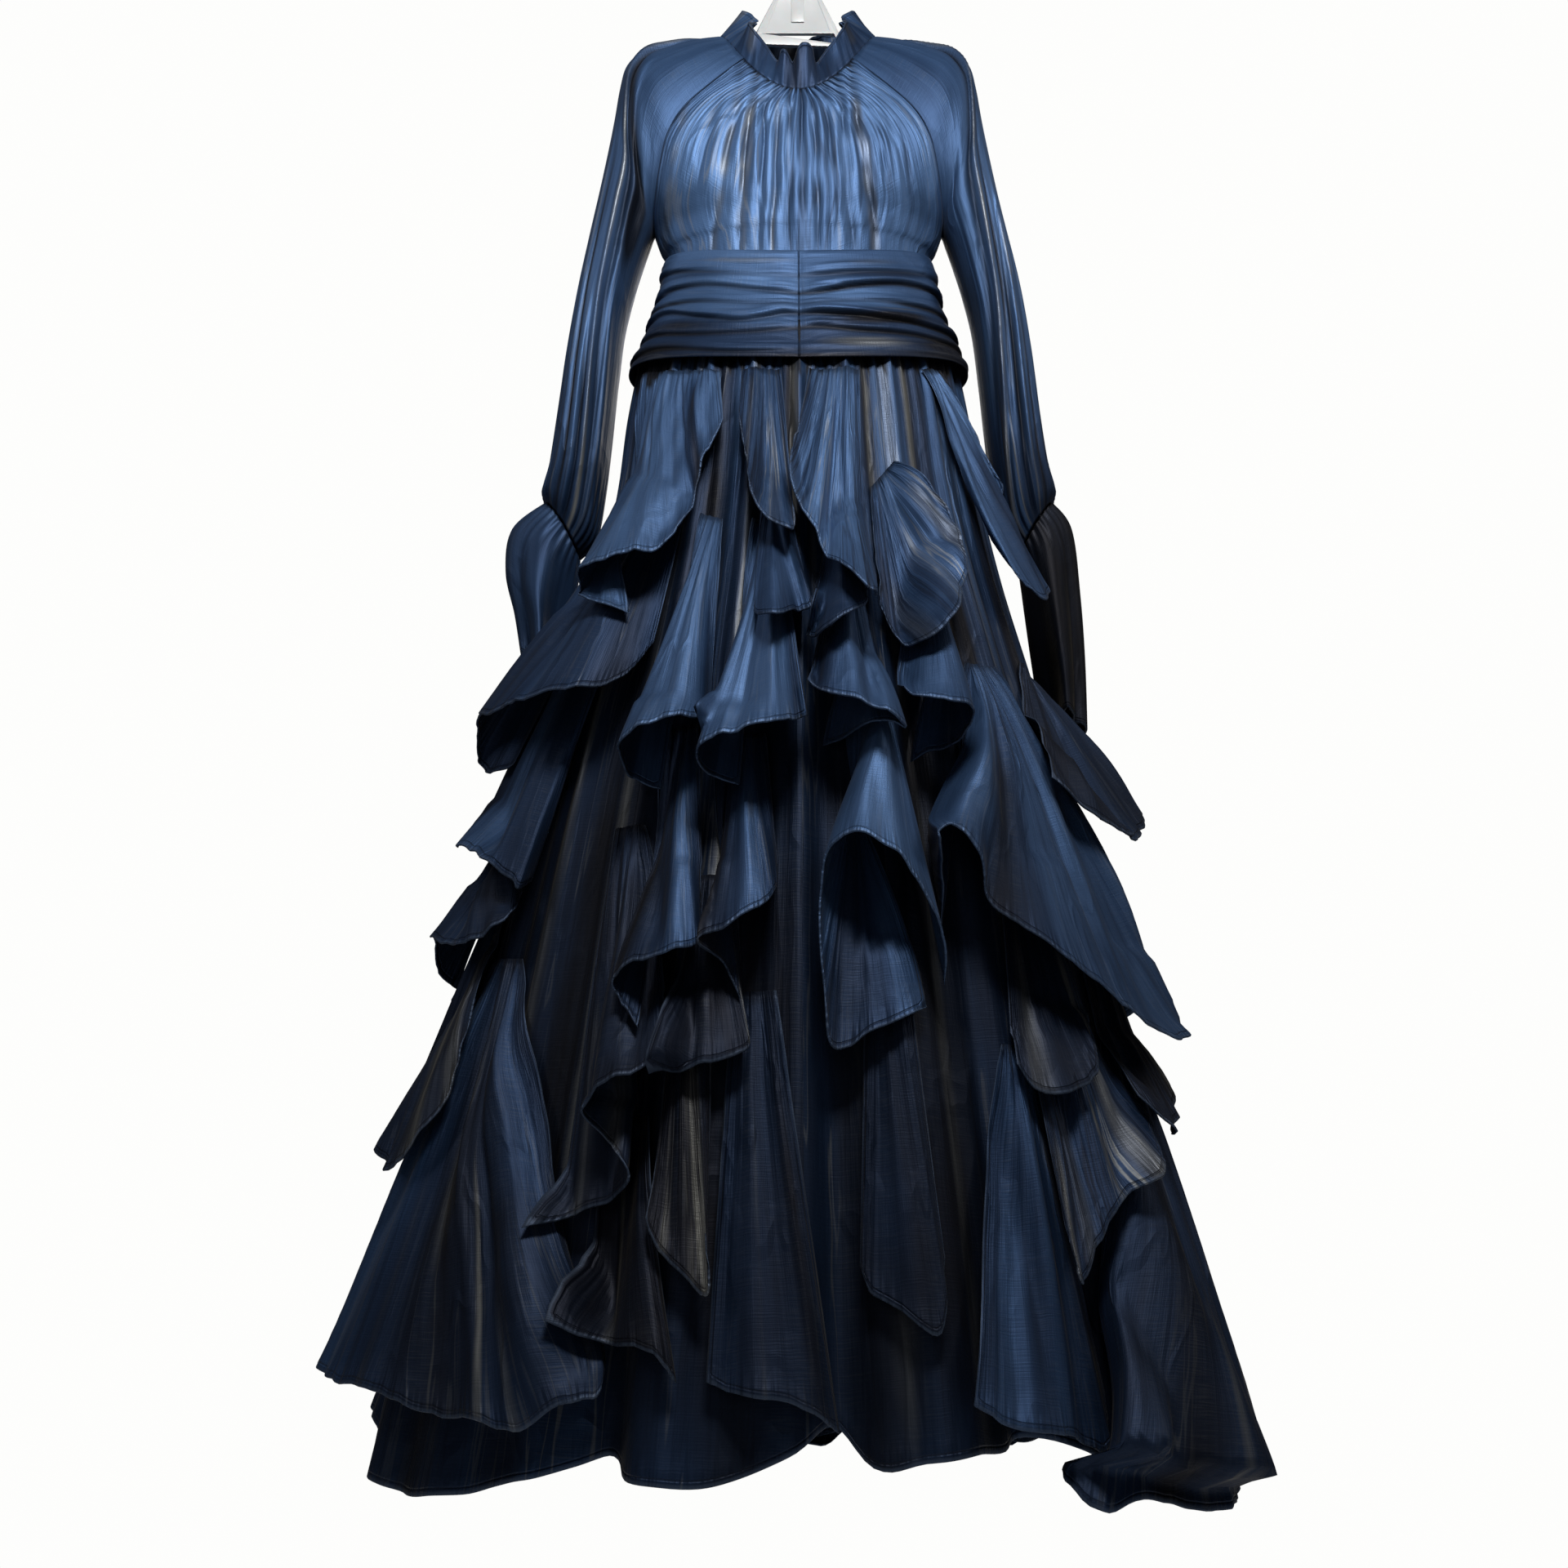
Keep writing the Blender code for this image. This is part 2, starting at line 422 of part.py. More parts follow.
def collar(finish, columns=33, rows=4, height=0.050):
    """The ruffled stand collar: it leans in over the neck and waves towards its top edge."""
    angle = np.linspace(0, 360, columns)
    turn = np.radians(angle)
    grid = []
    for share in np.linspace(0, 1, rows):
        lean = 1 - share * (0.30 * np.abs(np.sin(turn)) ** 1.5 + 0.06)
        wave = 0.0085 * share**1.2 * np.cos(8 * turn)
        base = neck_point(np.where(angle > 180, angle - 360, angle))
        away = np.stack([np.sin(turn), -np.cos(turn)], axis=-1)
        ring = base.copy()
        ring[:, :2] = base[:, :2] * lean[:, None] + away * wave[:, None]
        ring[:, 2] += SEAM + share * (height - 0.014 * np.sin(turn) ** 2)
        grid.append(ring)
    grid = np.array(grid)[::-1]
    return grid_wall("collar", grid, finish, closed_from=0)


def sash(finish, columns=25, rows_per_pleat=2):
    """The wide pleated sash, each pleat lapping the next one down, drawn together at its centre front seam."""
    angle = np.linspace(0, 360, columns)
    turn = np.radians(angle)
    front = np.clip(np.cos(turn), 0, 1)
    top = 1.250 - 0.026 * front**2
    bottom = 1.108 - 0.034 * front**2
    shares = []
    lifts = []
    for a, b in zip(SASH_PLEATS, SASH_PLEATS[1:]):
        for k in range(rows_per_pleat):
            part = k / rows_per_pleat
            shares.append(a + (b - a) * part)
            lifts.append(math.sin(math.pi * (0.12 + 0.80 * part)) if k else 0.0)
    shares.append(1.0)
    lifts.append(0.15)
    rows = []
    for share, lift in zip(shares, lifts):
        wander = 0.020 * np.sin(3 * turn + 9 * share) * math.sin(math.pi * share)
        here = np.clip(share + wander, 0, 1)
        form = smooth_along(SASH_FORM, here)
        pinch = 1 - 0.55 * np.exp(-((np.sin(turn / 2) / 0.10) ** 2))
        out = 0.0058 * lift * pinch
        rows.append(np.stack([
            (form[:, 0] + out) * np.sin(turn), -(form[:, 1] + out) * np.cos(turn), top + (bottom - top) * here,
        ], axis=-1))
    return grid_wall("sash", np.array(rows), finish, closed_from=0)


# Skirt and flounces

MAP_ANGLES = 720
MAP_LOW = -0.12
MAP_STEP = 0.005
MAP_HEIGHTS = 260
RESTING_SPACE = 0.0021  # from a layer's middle to the one beneath: both half walls and a little air


def skirt_point(angle, height, stand):
    form = smooth_along(SKIRT_FORM, height)
    turn = np.radians(angle)
    return np.stack([(form[..., 0] + stand) * np.sin(turn), -(form[..., 1] + stand) * np.cos(turn), height], axis=-1)


def skirt_place(points):
    """The angle, height and stand of points: skirt_point the other way round."""
    form = smooth_along(SKIRT_FORM, points[..., 2])
    stand = np.zeros(points.shape[:-1])
    for _ in range(6):
        turn = np.arctan2(points[..., 0] / (form[..., 0] + stand), -points[..., 1] / (form[..., 1] + stand))
        reach = np.hypot((form[..., 0] + stand) * np.sin(turn), (form[..., 1] + stand) * np.cos(turn))
        stand = stand + np.hypot(points[..., 0], points[..., 1]) - reach
    return np.degrees(turn) % 360, points[..., 2], stand


def facet_points(points, down, across):
    """Points spread over the facets of a grid, with the weight of each corner, the diagonals as in grid_faces."""
    a, b = np.meshgrid(np.linspace(0, 1, down), np.linspace(0, 1, across), indexing="ij")
    weights = (1 - np.maximum(a, b), np.clip(b - a, 0, 1), np.clip(a - b, 0, 1), np.minimum(a, b))
    corners = ((slice(None, -1), slice(None, -1)), (slice(None, -1), slice(1, None)),
               (slice(1, None), slice(None, -1)), (slice(1, None), slice(1, None)))
    spread = sum(w[None, None, :, :, None] * points[c][:, :, None, None, :] for w, c in zip(weights, corners))
    return spread, weights, corners


class Layers:
    """How far out the skirt's layers already reach, by angle and height."""

    def __init__(self):
        self.reach = np.zeros((MAP_ANGLES, MAP_HEIGHTS))
        self.points = []
        self.faces = []

    def add(self, angle, height, stand):
        """Adds a grid of points as facets between its rows and columns."""
        faces = grid_faces(*angle.shape)
        self.faces += [tuple(index + len(self.points) for index in face) for face in faces]
        self.points += skirt_point(angle, height, stand).reshape(-1, 3).tolist()
        down = 2 + math.ceil(np.abs(np.diff(height, axis=0)).max() / (0.8 * MAP_STEP))
        across = 2 + math.ceil(np.abs(np.diff(angle, axis=1)).max() / (0.8 * 360 / MAP_ANGLES))
        spread = facet_points(skirt_point(angle, height, stand), down, across)[0]
        turn, level, reach = skirt_place(spread)
        i = np.floor(turn / 360 * MAP_ANGLES).astype(int) % MAP_ANGLES
        j = np.clip(np.round((level - MAP_LOW) / MAP_STEP).astype(int), 0, MAP_HEIGHTS - 1)
        np.maximum.at(self.reach, (i.ravel(), j.ravel()), reach.ravel())

    def cover(self, turn_cells, height_cells, blur):
        """The reach widened by a number of cells, then evened out inside that width."""
        wide = self.reach
        for shift in range(1, turn_cells + 1):
            wide = np.maximum(wide, np.maximum(np.roll(self.reach, shift, 0), np.roll(self.reach, -shift, 0)))
        tall = wide.copy()
        for shift in range(1, height_cells + 1):
            tall[:, shift:] = np.maximum(tall[:, shift:], wide[:, :-shift])
            tall[:, :-shift] = np.maximum(tall[:, :-shift], wide[:, shift:])
        even = np.zeros_like(tall)
        for shift in range(-blur, blur + 1):
            even += np.roll(tall, shift, 0) / (2 * blur + 1)
        return even

    @staticmethod
    def read(cover, angle, height):
        column = np.asarray(angle) / 360 * MAP_ANGLES - 0.5
        row = np.clip((np.asarray(height) - MAP_LOW) / MAP_STEP, 0, MAP_HEIGHTS - 1.001)
        i, j = np.floor(column).astype(int), np.floor(row).astype(int)
        a, b = column - i, row - j
        i, k = i % MAP_ANGLES, (i + 1) % MAP_ANGLES
        return (
            cover[i, j] * (1 - a) * (1 - b) + cover[k, j] * a * (1 - b)
            + cover[i, j + 1] * (1 - a) * b + cover[k, j + 1] * a * b
        )


def skirt(layers, finish, rows=6, steps_per_fold=3):
    """The gathered skirt under the flounces, a full ring: fine gathers at the waist, wide folds at the hem."""
    columns = SKIRT_FOLDS * steps_per_fold + 1
    share = np.linspace(0, 1, columns)
    turn = 2 * math.pi * share
    angle = 360 * share[None, :] + np.zeros((rows, 1))
    fall = (np.linspace(0, 1, rows) ** 1.1)[:, None]
    degrees = (np.degrees(turn) + 90) % 360 - 90
    hem, out = smooth_along(SKIRT_HEM, degrees).T
    height = SKIRT_TOP + (hem[None, :] - SKIRT_TOP) * fall
    uneven = 1 + 0.35 * np.sin(3 * turn + 1.0)
    fine = (0.004 + 0.009 * fall) * uneven[None, :] * (0.5 + 0.5 * np.cos(SKIRT_FOLDS * turn))[None, :]
    wide = fall**2.4 * np.clip(out, 0, None)[None, :]
    stand = fine + wide
    layers.add(angle, height, stand)
    return grid_wall("skirt", skirt_point(angle, height, stand), finish, closed_from=0)


def hem_line(points, step):
    """Angle, height and stand along a hem: a soft curve through its points, cut into even steps between them."""
    points = np.array(points, float)
    form = smooth_along(SKIRT_FORM, points[:, 1])
    around = (form[:-1, 0] + points[:-1, 2]) * np.radians(np.diff(points[:, 0]))
    length = np.sqrt(around**2 + np.diff(points[:, 1]) ** 2 + np.diff(points[:, 2]) ** 2)
    key = np.concatenate([[0], np.cumsum(length)])
    keys = [0.0]
    for start, end in zip(key, key[1:]):
        count = max(1, round((end - start) / step))
        keys.extend(start + (end - start) * (k + 1) / count for k in range(count))
    return smooth_along(np.column_stack([key, points]), np.array(keys)).T


def settle(layers, angle, height, stand, space, rounds=12):
    """Moves a grid of points out until no part of its facets is nearer than a space to what hangs beneath."""
    beneath = layers.cover(1, 1, 0)
    stand = stand.copy()
    for _ in range(rounds):
        spread, weights, corners = facet_points(skirt_point(angle, height, stand), 13, 13)
        turn, level, here = skirt_place(spread)
        lack = np.clip(layers.read(beneath, turn, level) + space - here, 0, None)
        if lack.max() < 1e-5:
            break
        for w, c in zip(weights, corners):
            stand[c] = stand[c] + (lack * w).max(axis=(2, 3)) * 0.7
    return stand


def seat(layers, angle, height, stand, rounds=6):
    """Moves a settled grid in until its wall is a seated gap away from the nearest wall beneath it."""
    beneath = BVHTree.FromPolygons(layers.points, layers.faces)
    faces = grid_faces(*angle.shape)
    for _ in range(rounds):
        points = skirt_point(angle, height, stand)
        spread = facet_points(points, 9, 9)[0].reshape(-1, 3)
        nearest = min(beneath.find_nearest(point)[3] for point in spread.tolist())
        own = BVHTree.FromPolygons(points.reshape(-1, 3).tolist(), faces)
        close = (own.find_nearest(point, 0.02)[3] for point in layers.points)
        nearest = min([nearest] + [distance for distance in close if distance is not None])
        gap = nearest - CLOTH - SEATED
        if gap < 5e-5:
            break
        stand = stand - gap
    return stand


def unfolded(hem_angle, hem_height):
    """The hem's angles with its folds opened out. A side edge that climbs towards the sewn line stays as it is."""
    spread = hem_angle.copy()
    low, high = hem_angle.argmin(), hem_angle.argmax()
    first = low if hem_height[0] - hem_height[low] > 0.06 else 0
    last = high if hem_height[-1] - hem_height[high] > 0.06 else len(spread) - 1
    spread[first:last + 1] = np.linspace(hem_angle[low], hem_angle[high], last + 1 - first)
    return spread


def flounce(layers, name, sewn, hem, finish):
    """A flounce from its sewn line to its hem, opening into cones, laid over what hangs beneath it."""
    hem_angle, hem_height, hem_stand = hem_line(hem, HEM_STEP)
    along = np.linspace(0, 1, len(hem_angle))
    fall = np.array(FLOUNCE_ROWS)[:, None]
    sewn_angle = sewn[0] + (sewn[2] - sewn[0]) * along
    sewn_height = sewn[1] + (sewn[3] - sewn[1]) * along
    spread = unfolded(hem_angle, hem_height)
    lap = np.clip((fall - LAP_START) / (1 - LAP_START), 0, 1)
    angle = sewn_angle + (spread - sewn_angle) * fall**0.9 + (hem_angle - spread) * lap * LAP_DEPTH
    height = sewn_height + (hem_height - sewn_height) * fall
    rest = layers.read(layers.cover(2, 1, 2), angle, height) + RESTING_SPACE
    share_left = np.clip(1 - rest[-1] / hem_stand.max(), 0.4, 1)
    rise = np.clip(hem_stand, 0, None) * share_left
    stand = rest + rise * (0.94 * fall**0.85 + 0.06 * fall**6)
    stand = settle(layers, angle, height, stand, RESTING_SPACE)
    stand = seat(layers, angle, height, stand)
    layers.add(angle, height, stand)
    return grid_wall(name, skirt_point(angle, height, stand), finish)


def back_hem(first, last, height, stand, folds=2):
    """Hem points of a back flounce, its folds alike but for small steps in width, height and stand."""
    width = (last - first) / (folds + 0.1)
    points = []
    for k in range(folds):
        left = first + width * k + 1.5 * math.sin(2.3 * k + first)
        lower = 0.012 * math.sin(1.7 * k + first)
        for share, drop, out in BACK_FOLD:
            points.append((left + width * share, height - drop + lower, out * stand * (1 - 0.08 * math.sin(k + last))))
    points.append((last, height - 0.02, 0.0))
    return points


# Hanger

HANGER_SLOPE = 0.295
PLATE = {"foot": 1.5615, "head": 1.622, "foot_half_width": 0.042, "head_half_width": 0.023, "thickness": 0.005}
HOOK_WIRE = 0.0019
HOOK_RADIUS = 0.022


def shoulder_height(x):
    """The straight line of the sleeve tops, which lie on the hanger."""
    return NECK_SIDE - HANGER_SLOPE * (x - NECK_HALF_WIDTH)


def hanger(finish):
    """Plate and both arms in one moulding: an outline in the XZ plane, thickened along Y and rounded."""
    clearance = CLOTH / 2 + 0.0009
    arm_depth = 0.016
    tip = 0.176
    root = PLATE["foot_half_width"]
    right = [
        (PLATE["head_half_width"], PLATE["head"]),
        (root, max(PLATE["foot"], shoulder_height(root) - clearance + 0.004)),
        (root + 0.004, shoulder_height(root + 0.004) - clearance - 0.003),
        (tip - 0.006, shoulder_height(tip - 0.006) - clearance),
        (tip, shoulder_height(tip) - clearance - 0.006),
        (tip - 0.004, shoulder_height(tip) - clearance - 0.015),
        (root + 0.004, shoulder_height(root + 0.004) - clearance - arm_depth),
    ]
    left = [(-x, h) for x, h in reversed(right)]
    outline = right + [(0.0, PLATE["foot"] - 0.004)] + left
    mesh = bpy.data.meshes.new("hanger")
    half = PLATE["thickness"] / 2
    count = len(outline)
    vertices = [(x, -half, h - HOOK_SEAT) for x, h in outline] + [(x, half, h - HOOK_SEAT) for x, h in outline]
    sides = [(k, (k + 1) % count, (k + 1) % count + count, k + count) for k in range(count)]
    front = tuple(reversed(range(count)))
    back = tuple(range(count, 2 * count))
    mesh.from_pydata(vertices, [], [front, back] + sides)
    mesh.update()
    mesh.materials.append(finish)
    made = bpy.data.objects.new("hanger", mesh)
    bpy.context.scene.collection.objects.link(made)
    bevel = made.modifiers.new("rounded edges", "BEVEL")
    bevel.width = 0.0014
    bevel.segments = 2
    bevel.limit_method = "ANGLE"
    return made


def hook(finish):
    """The wire hook, fixed in the plate: a short stem, then an open ring whose inner top is the seat."""
    centre = HOOK_SEAT + HOOK_WIRE - HOOK_RADIUS
    foot = PLATE["head"] + 0.0004
    stem = [(0.0, foot), (0.0, foot + 0.008), (0.002, foot + 0.014), (0.0075, foot + 0.020)]
    turns = np.radians(np.linspace(-52, 200, 20))
    ring = [(HOOK_RADIUS * math.cos(turn), centre + HOOK_RADIUS * math.sin(turn)) for turn in turns]
    curve = bpy.data.curves.new("hook", "CURVE")
    curve.dimensions = "3D"
    curve.bevel_depth = HOOK_WIRE
    curve.bevel_resolution = 2
    curve.use_fill_caps = True
    line = curve.splines.new("POLY")
    route = stem + ring
    line.points.add(len(route) - 1)
    for point, (x, h) in zip(line.points, route):
        point.co = (x, 0, h - HOOK_SEAT, 1)
    curve.materials.append(finish)
    made = bpy.data.objects.new("hook", curve)
    bpy.context.scene.collection.objects.link(made)
    return made


def main():
    clear_scene()
    satin = material("navy_satin", NAVY, 0.34)
    under = material("skirt_satin", DEEP_NAVY, 0.40)
    plastic = material("hanger_plastic", (0.80, 0.81, 0.82), 0.30)
    steel = material("hook_steel", (0.62, 0.62, 0.64), 0.25, 1.0)
    layers = Layers()
    skirt(layers, under)
    for name, (first, last, sewn, height, stand) in BACK_FLOUNCES.items():
        inset = (last - first) * 0.16
        line = (first + inset, sewn, last - inset, sewn)
        flounce(layers, name, line, back_hem(first, last, height, stand), satin)
    for name, (sewn, hem) in FLOUNCES.items():
        flounce(layers, name, sewn, hem, satin)
    bodice_panel("bodice_front", True, satin, columns=29, gathers=9, gather_depth=0.0032)
    bodice_panel("bodice_back", False, satin, columns=13, gathers=0, gather_depth=0.0)
    sash(satin)
    collar(satin)
    for name, side, table in (("right", 1, CUFF_RIGHT), ("left", -1, CUFF_LEFT)):
        sleeve("sleeve_" + name, side, satin)
        cuff("cuff_" + name, side, table, satin)
    hanger(plastic)
    hook(steel)


main()
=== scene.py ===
# Long ruffled evening dress on a hanger: shot satin, made of the pieces a dressmaker would cut and sew.
# Metres, +Z up, the origin at the seat of the hanger's hook, the dress's front faces -Y.
# The tables below give heights above the front hem. On the skirt a point is placed by its angle round
# the body (0 at the centre front, 90 at +X), its height, and its stand: the distance out from the plain
# skirt form.
import math

import bpy
import numpy as np
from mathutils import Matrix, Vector


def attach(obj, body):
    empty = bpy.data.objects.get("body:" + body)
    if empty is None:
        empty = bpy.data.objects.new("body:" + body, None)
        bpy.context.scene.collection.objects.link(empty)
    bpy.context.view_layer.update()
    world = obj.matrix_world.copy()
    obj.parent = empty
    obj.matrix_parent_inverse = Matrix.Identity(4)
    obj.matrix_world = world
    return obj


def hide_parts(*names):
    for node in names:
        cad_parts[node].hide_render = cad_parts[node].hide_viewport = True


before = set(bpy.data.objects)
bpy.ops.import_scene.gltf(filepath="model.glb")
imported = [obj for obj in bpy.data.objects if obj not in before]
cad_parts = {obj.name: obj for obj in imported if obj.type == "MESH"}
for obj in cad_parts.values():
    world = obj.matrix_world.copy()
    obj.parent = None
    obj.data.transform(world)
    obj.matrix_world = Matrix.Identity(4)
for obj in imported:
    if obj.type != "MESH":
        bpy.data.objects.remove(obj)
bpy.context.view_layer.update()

# heights of the hook's seat, of the skirt's and of the sash's top, and how far the sash dips in front
hookSeat = 1.700
skirtTop = 1.1275
sashTop = 1.250
sashDip = 0.026
# half the space kept in a seam, and the space from one petal to the layer beneath it
seam = 0.0007
layerSpace = 0.0021


# Sockets as values, so that a finish can be written as sums

class Wire:
    def __init__(self, tree, socket):
        self.tree = tree
        self.socket = socket

    def maths(self, operation, *others):
        made = self.tree.nodes.new("ShaderNodeMath")
        made.operation = operation
        for slot, value in enumerate((self,) + others):
            if isinstance(value, Wire):
                self.tree.links.new(value.socket, made.inputs[slot])
            else:
                made.inputs[slot].default_value = value
        return Wire(self.tree, made.outputs[0])

    def __add__(self, other):
        return self.maths("ADD", other)

    def __radd__(self, other):
        return self.maths("ADD", other)

    def __sub__(self, other):
        return self.maths("SUBTRACT", other)

    def __rsub__(self, other):
        return self.maths("MULTIPLY", -1.0).maths("ADD", other)

    def __mul__(self, other):
        return self.maths("MULTIPLY", other)

    def __rmul__(self, other):
        return self.maths("MULTIPLY", other)

    def __truediv__(self, other):
        return self.maths("DIVIDE", other)

    def __pow__(self, other):
        return self.maths("POWER", other)

    def between(self, low, high):
        span = self.maths("SUBTRACT", low).maths("DIVIDE", high - low)
        return span.maths("MINIMUM", 1.0).maths("MAXIMUM", 0.0)


class Finish:
    def __init__(self, name):
        self.material = bpy.data.materials.new(name)
        self.material.use_nodes = True
        self.tree = self.material.node_tree
        self.shader = self.tree.nodes["Principled BSDF"]

    def node(self, kind, settings=None, **sockets):
        made = self.tree.nodes.new(kind)
        for key, value in (settings or {}).items():
            if key == "stops":
                while len(made.color_ramp.elements) < len(value):
                    made.color_ramp.elements.new(0.5)
                for element, (place, colour) in zip(made.color_ramp.elements, value):
                    element.position = place
                    element.color = colour
            else:
                setattr(made, key, value)
        for key, value in sockets.items():
            socket = made.inputs[int(key[1:])] if key[0] == "n" and key[1:].isdigit() else made.inputs[key]
            self.put(socket, value)
        return made

    def put(self, socket, value):
        if isinstance(value, Wire):
            self.tree.links.new(value.socket, socket)
        else:
            socket.default_value = value

    def wire(self, made, output=0):
        return Wire(self.tree, made.outputs[output])

    def noise(self, vector, scale, detail=2.0, roughness=0.5):
        made = self.node("ShaderNodeTexNoise", Vector=vector, Scale=scale, Detail=detail,
                         Roughness=roughness)
        return self.wire(made, 0)

    def blend(self, share, first, second):
        made = self.node("ShaderNodeMix", {"data_type": "RGBA"}, n0=share, n6=first, n7=second)
        return self.wire(made, 2)

    def bump(self, height, distance, strength=1.0, normal=None):
        made = self.node("ShaderNodeBump", Height=height, Distance=distance, Strength=strength)
        if normal is not None:
            self.put(made.inputs["Normal"], normal)
        return self.wire(made, 0)

    def attribute(self, name):
        return self.wire(self.node("ShaderNodeAttribute", {"attribute_name": name}), 2)

    def mapping(self, vector, scale, turn=(0.0, 0.0, 0.0)):
        return self.wire(self.node("ShaderNodeMapping", Vector=vector, Scale=scale, Rotation=turn))


def rgba(red, green, blue):
    return (red, green, blue, 1.0)


# Satin: painted light and shade, from ink (the shaded navy) through deep blue to lit mid blue by each
# piece's own tone, with the bronze of the cross thread painted along the folds as sheen highlights
satinLook = {
    # blue, deep blue and ink: the lit, half-lit and shaded levels of the same navy satin
    "blue": rgba(0.069, 0.141, 0.294),
    "deepBlue": rgba(0.012, 0.035, 0.092),
    "shadeNavy": rgba(0.0034, 0.0056, 0.0135),
    # bronze and dark bronze: colours of the painted sheen highlights, partly the bronze cross thread,
    # greyed like the highlights on the folds
    "bronzeSheen": rgba(0.300, 0.300, 0.275),
    "darkBronzeSheen": rgba(0.018, 0.018, 0.020),
    # edge: the colour of a painted highlight along the rolled hems
    "edge": rgba(0.085, 0.120, 0.190),
    "warmShine": (1.0, 0.92, 0.80, 1.0),
    # painted shade towards the bottom: the heights where it starts and where it is full, and the share of
    # brightness left at the hem
    "brightAt": -0.30,
    "darkAt": -1.65,
    "hemShare": 0.60,
    "roughness": 0.41,
    "metallic": 0.60,
    "sheen": 0.02,
    "wrinkleDepth": 0.0014,
    "puckerDepth": 0.0013,
    "slubDepth": 0.00008,
}


def makeSatin(name, look):
    cloth = Finish(name)
    uv = cloth.wire(cloth.node("ShaderNodeUVMap", {"uv_map": "UVMap"}))
    place = cloth.wire(cloth.node("ShaderNodeTexCoord"), 3)
    level = cloth.wire(cloth.node("ShaderNodeSeparateXYZ", Vector=place), 2)
    shine = cloth.attribute("shine")
    hem = cloth.attribute("hem")
    crush = cloth.attribute("crush")
    tint = cloth.attribute("tint")
    tone = cloth.attribute("tone")

    longGrain = cloth.noise(cloth.mapping(uv, (34.0, 2.2, 1.0)), 1.0, 3.0, 0.6)
    fineGrain = cloth.noise(cloth.mapping(uv, (150.0, 7.0, 1.0)), 1.0, 2.0, 0.5)
    slub = cloth.noise(cloth.mapping(uv, (900.0, 40.0, 1.0)), 1.0, 1.0, 0.5)
    crossSlub = cloth.noise(cloth.mapping(uv, (30.0, 700.0, 1.0)), 1.0, 1.0, 0.5)
    patches = cloth.noise(place, 6.0, 3.0, 0.6)
    crumple = cloth.noise(cloth.mapping(uv, (16.0, 9.0, 1.0), (0.0, 0.0, 0.5)), 1.0, 2.0, 0.55)
    creaseField = cloth.noise(cloth.mapping(uv, (7.0, 4.0, 1.0), (0.0, 0.0, -0.35)), 1.0, 3.0, 0.55)
    sharp = 1.0 - (longGrain - 0.5).maths("ABSOLUTE").between(0.0, 0.050)
    broad = cloth.noise(cloth.mapping(uv, (9.0, 1.6, 1.0)), 1.0, 2.0, 0.55)
    # thin lines for a painted highlight on wrinkle ridges and a painted shade in wrinkle creases
    ridgeHighlight = 1.0 - (longGrain - 0.53).maths("ABSOLUTE").between(0.004, 0.020)
    creaseShade = 1.0 - (longGrain - 0.45).maths("ABSOLUTE").between(0.006, 0.034)
    # thin pressed lines where the field crosses its middle
    pressed = 1.0 - (creaseField - 0.5).maths("ABSOLUTE").between(0.0, 0.030)
    pressed = pressed * patches.between(0.42, 0.62)

    # painted light and shade: each piece's tone sets how lit its colour is, from the shaded navy to the lit
    # blue
    share = tone + (patches - 0.5) * 0.45 + (broad - 0.5) * 0.9 + (longGrain - 0.5) * (0.3 + 1.4 * crush)
    # painted shade: the colour darkens towards the bottom of the dress
    shadeTowardHem = level.between(look["brightAt"], look["darkAt"]) * (1.0 - look["hemShare"])
    share = share * (1.0 - shadeTowardHem)
    colour = cloth.blend(share.between(0.0, 0.5), look["shadeNavy"], look["deepBlue"])
    colour = cloth.blend(share.between(0.4, 1.0), colour, look["blue"])
    # painted sheen highlights: where a piece marks shine, a darker bronze and then a grey bronze sheen is
    # laid on the blue, and faintly on the slubs
    streak = longGrain.between(0.44, 0.66)
    highlightShare = (shine * (0.35 + 0.9 * streak)).between(0.05, 1.0)
    colour = cloth.blend(shine.between(0.0, 0.5) * 0.30, colour, look["darkBronzeSheen"])
    colour = cloth.blend(highlightShare * 0.62, colour, look["bronzeSheen"])
    colour = cloth.blend((streak * crossSlub.between(0.45, 0.75)) * 0.06, colour, look["bronzeSheen"])
    # painted shade in the wrinkle creases and painted highlight on the wrinkle ridges, stronger where the
    # cloth is crushed
    colour = cloth.blend(creaseShade * broad.between(0.62, 0.42) * (crush * 1.3), colour, look["shadeNavy"])
    colour = cloth.blend(ridgeHighlight * broad.between(0.46, 0.60) * (crush * 0.9), colour, look["bronzeSheen"])
    # painted shade: near black wherever a piece marks shade in its grooves, pockets, tucks and hollows
    colour = cloth.blend(tint, colour, rgba(0.0012, 0.0016, 0.0035))
    # painted highlight: a lighter band along the rolled hems, then a dark stitch line
    hemHighlight = 1.0 - hem.between(0.0010, 0.0026)
    stitch = hem.between(0.0035, 0.0045) * (1.0 - hem.between(0.0050, 0.0060))
    colour = cloth.blend(hemHighlight * 0.35, colour, look["edge"])
    colour = cloth.blend(stitch * 0.30, colour, rgba(0.003, 0.005, 0.012))
    cloth.put(cloth.shader.inputs["Base Color"], colour)

    rough = look["roughness"] + 0.16 * fineGrain + 0.10 * patches - 0.12 * shine.between(0.0, 1.0)
    cloth.put(cloth.shader.inputs["Roughness"], rough)
    cloth.put(cloth.shader.inputs["Metallic"], look["metallic"])

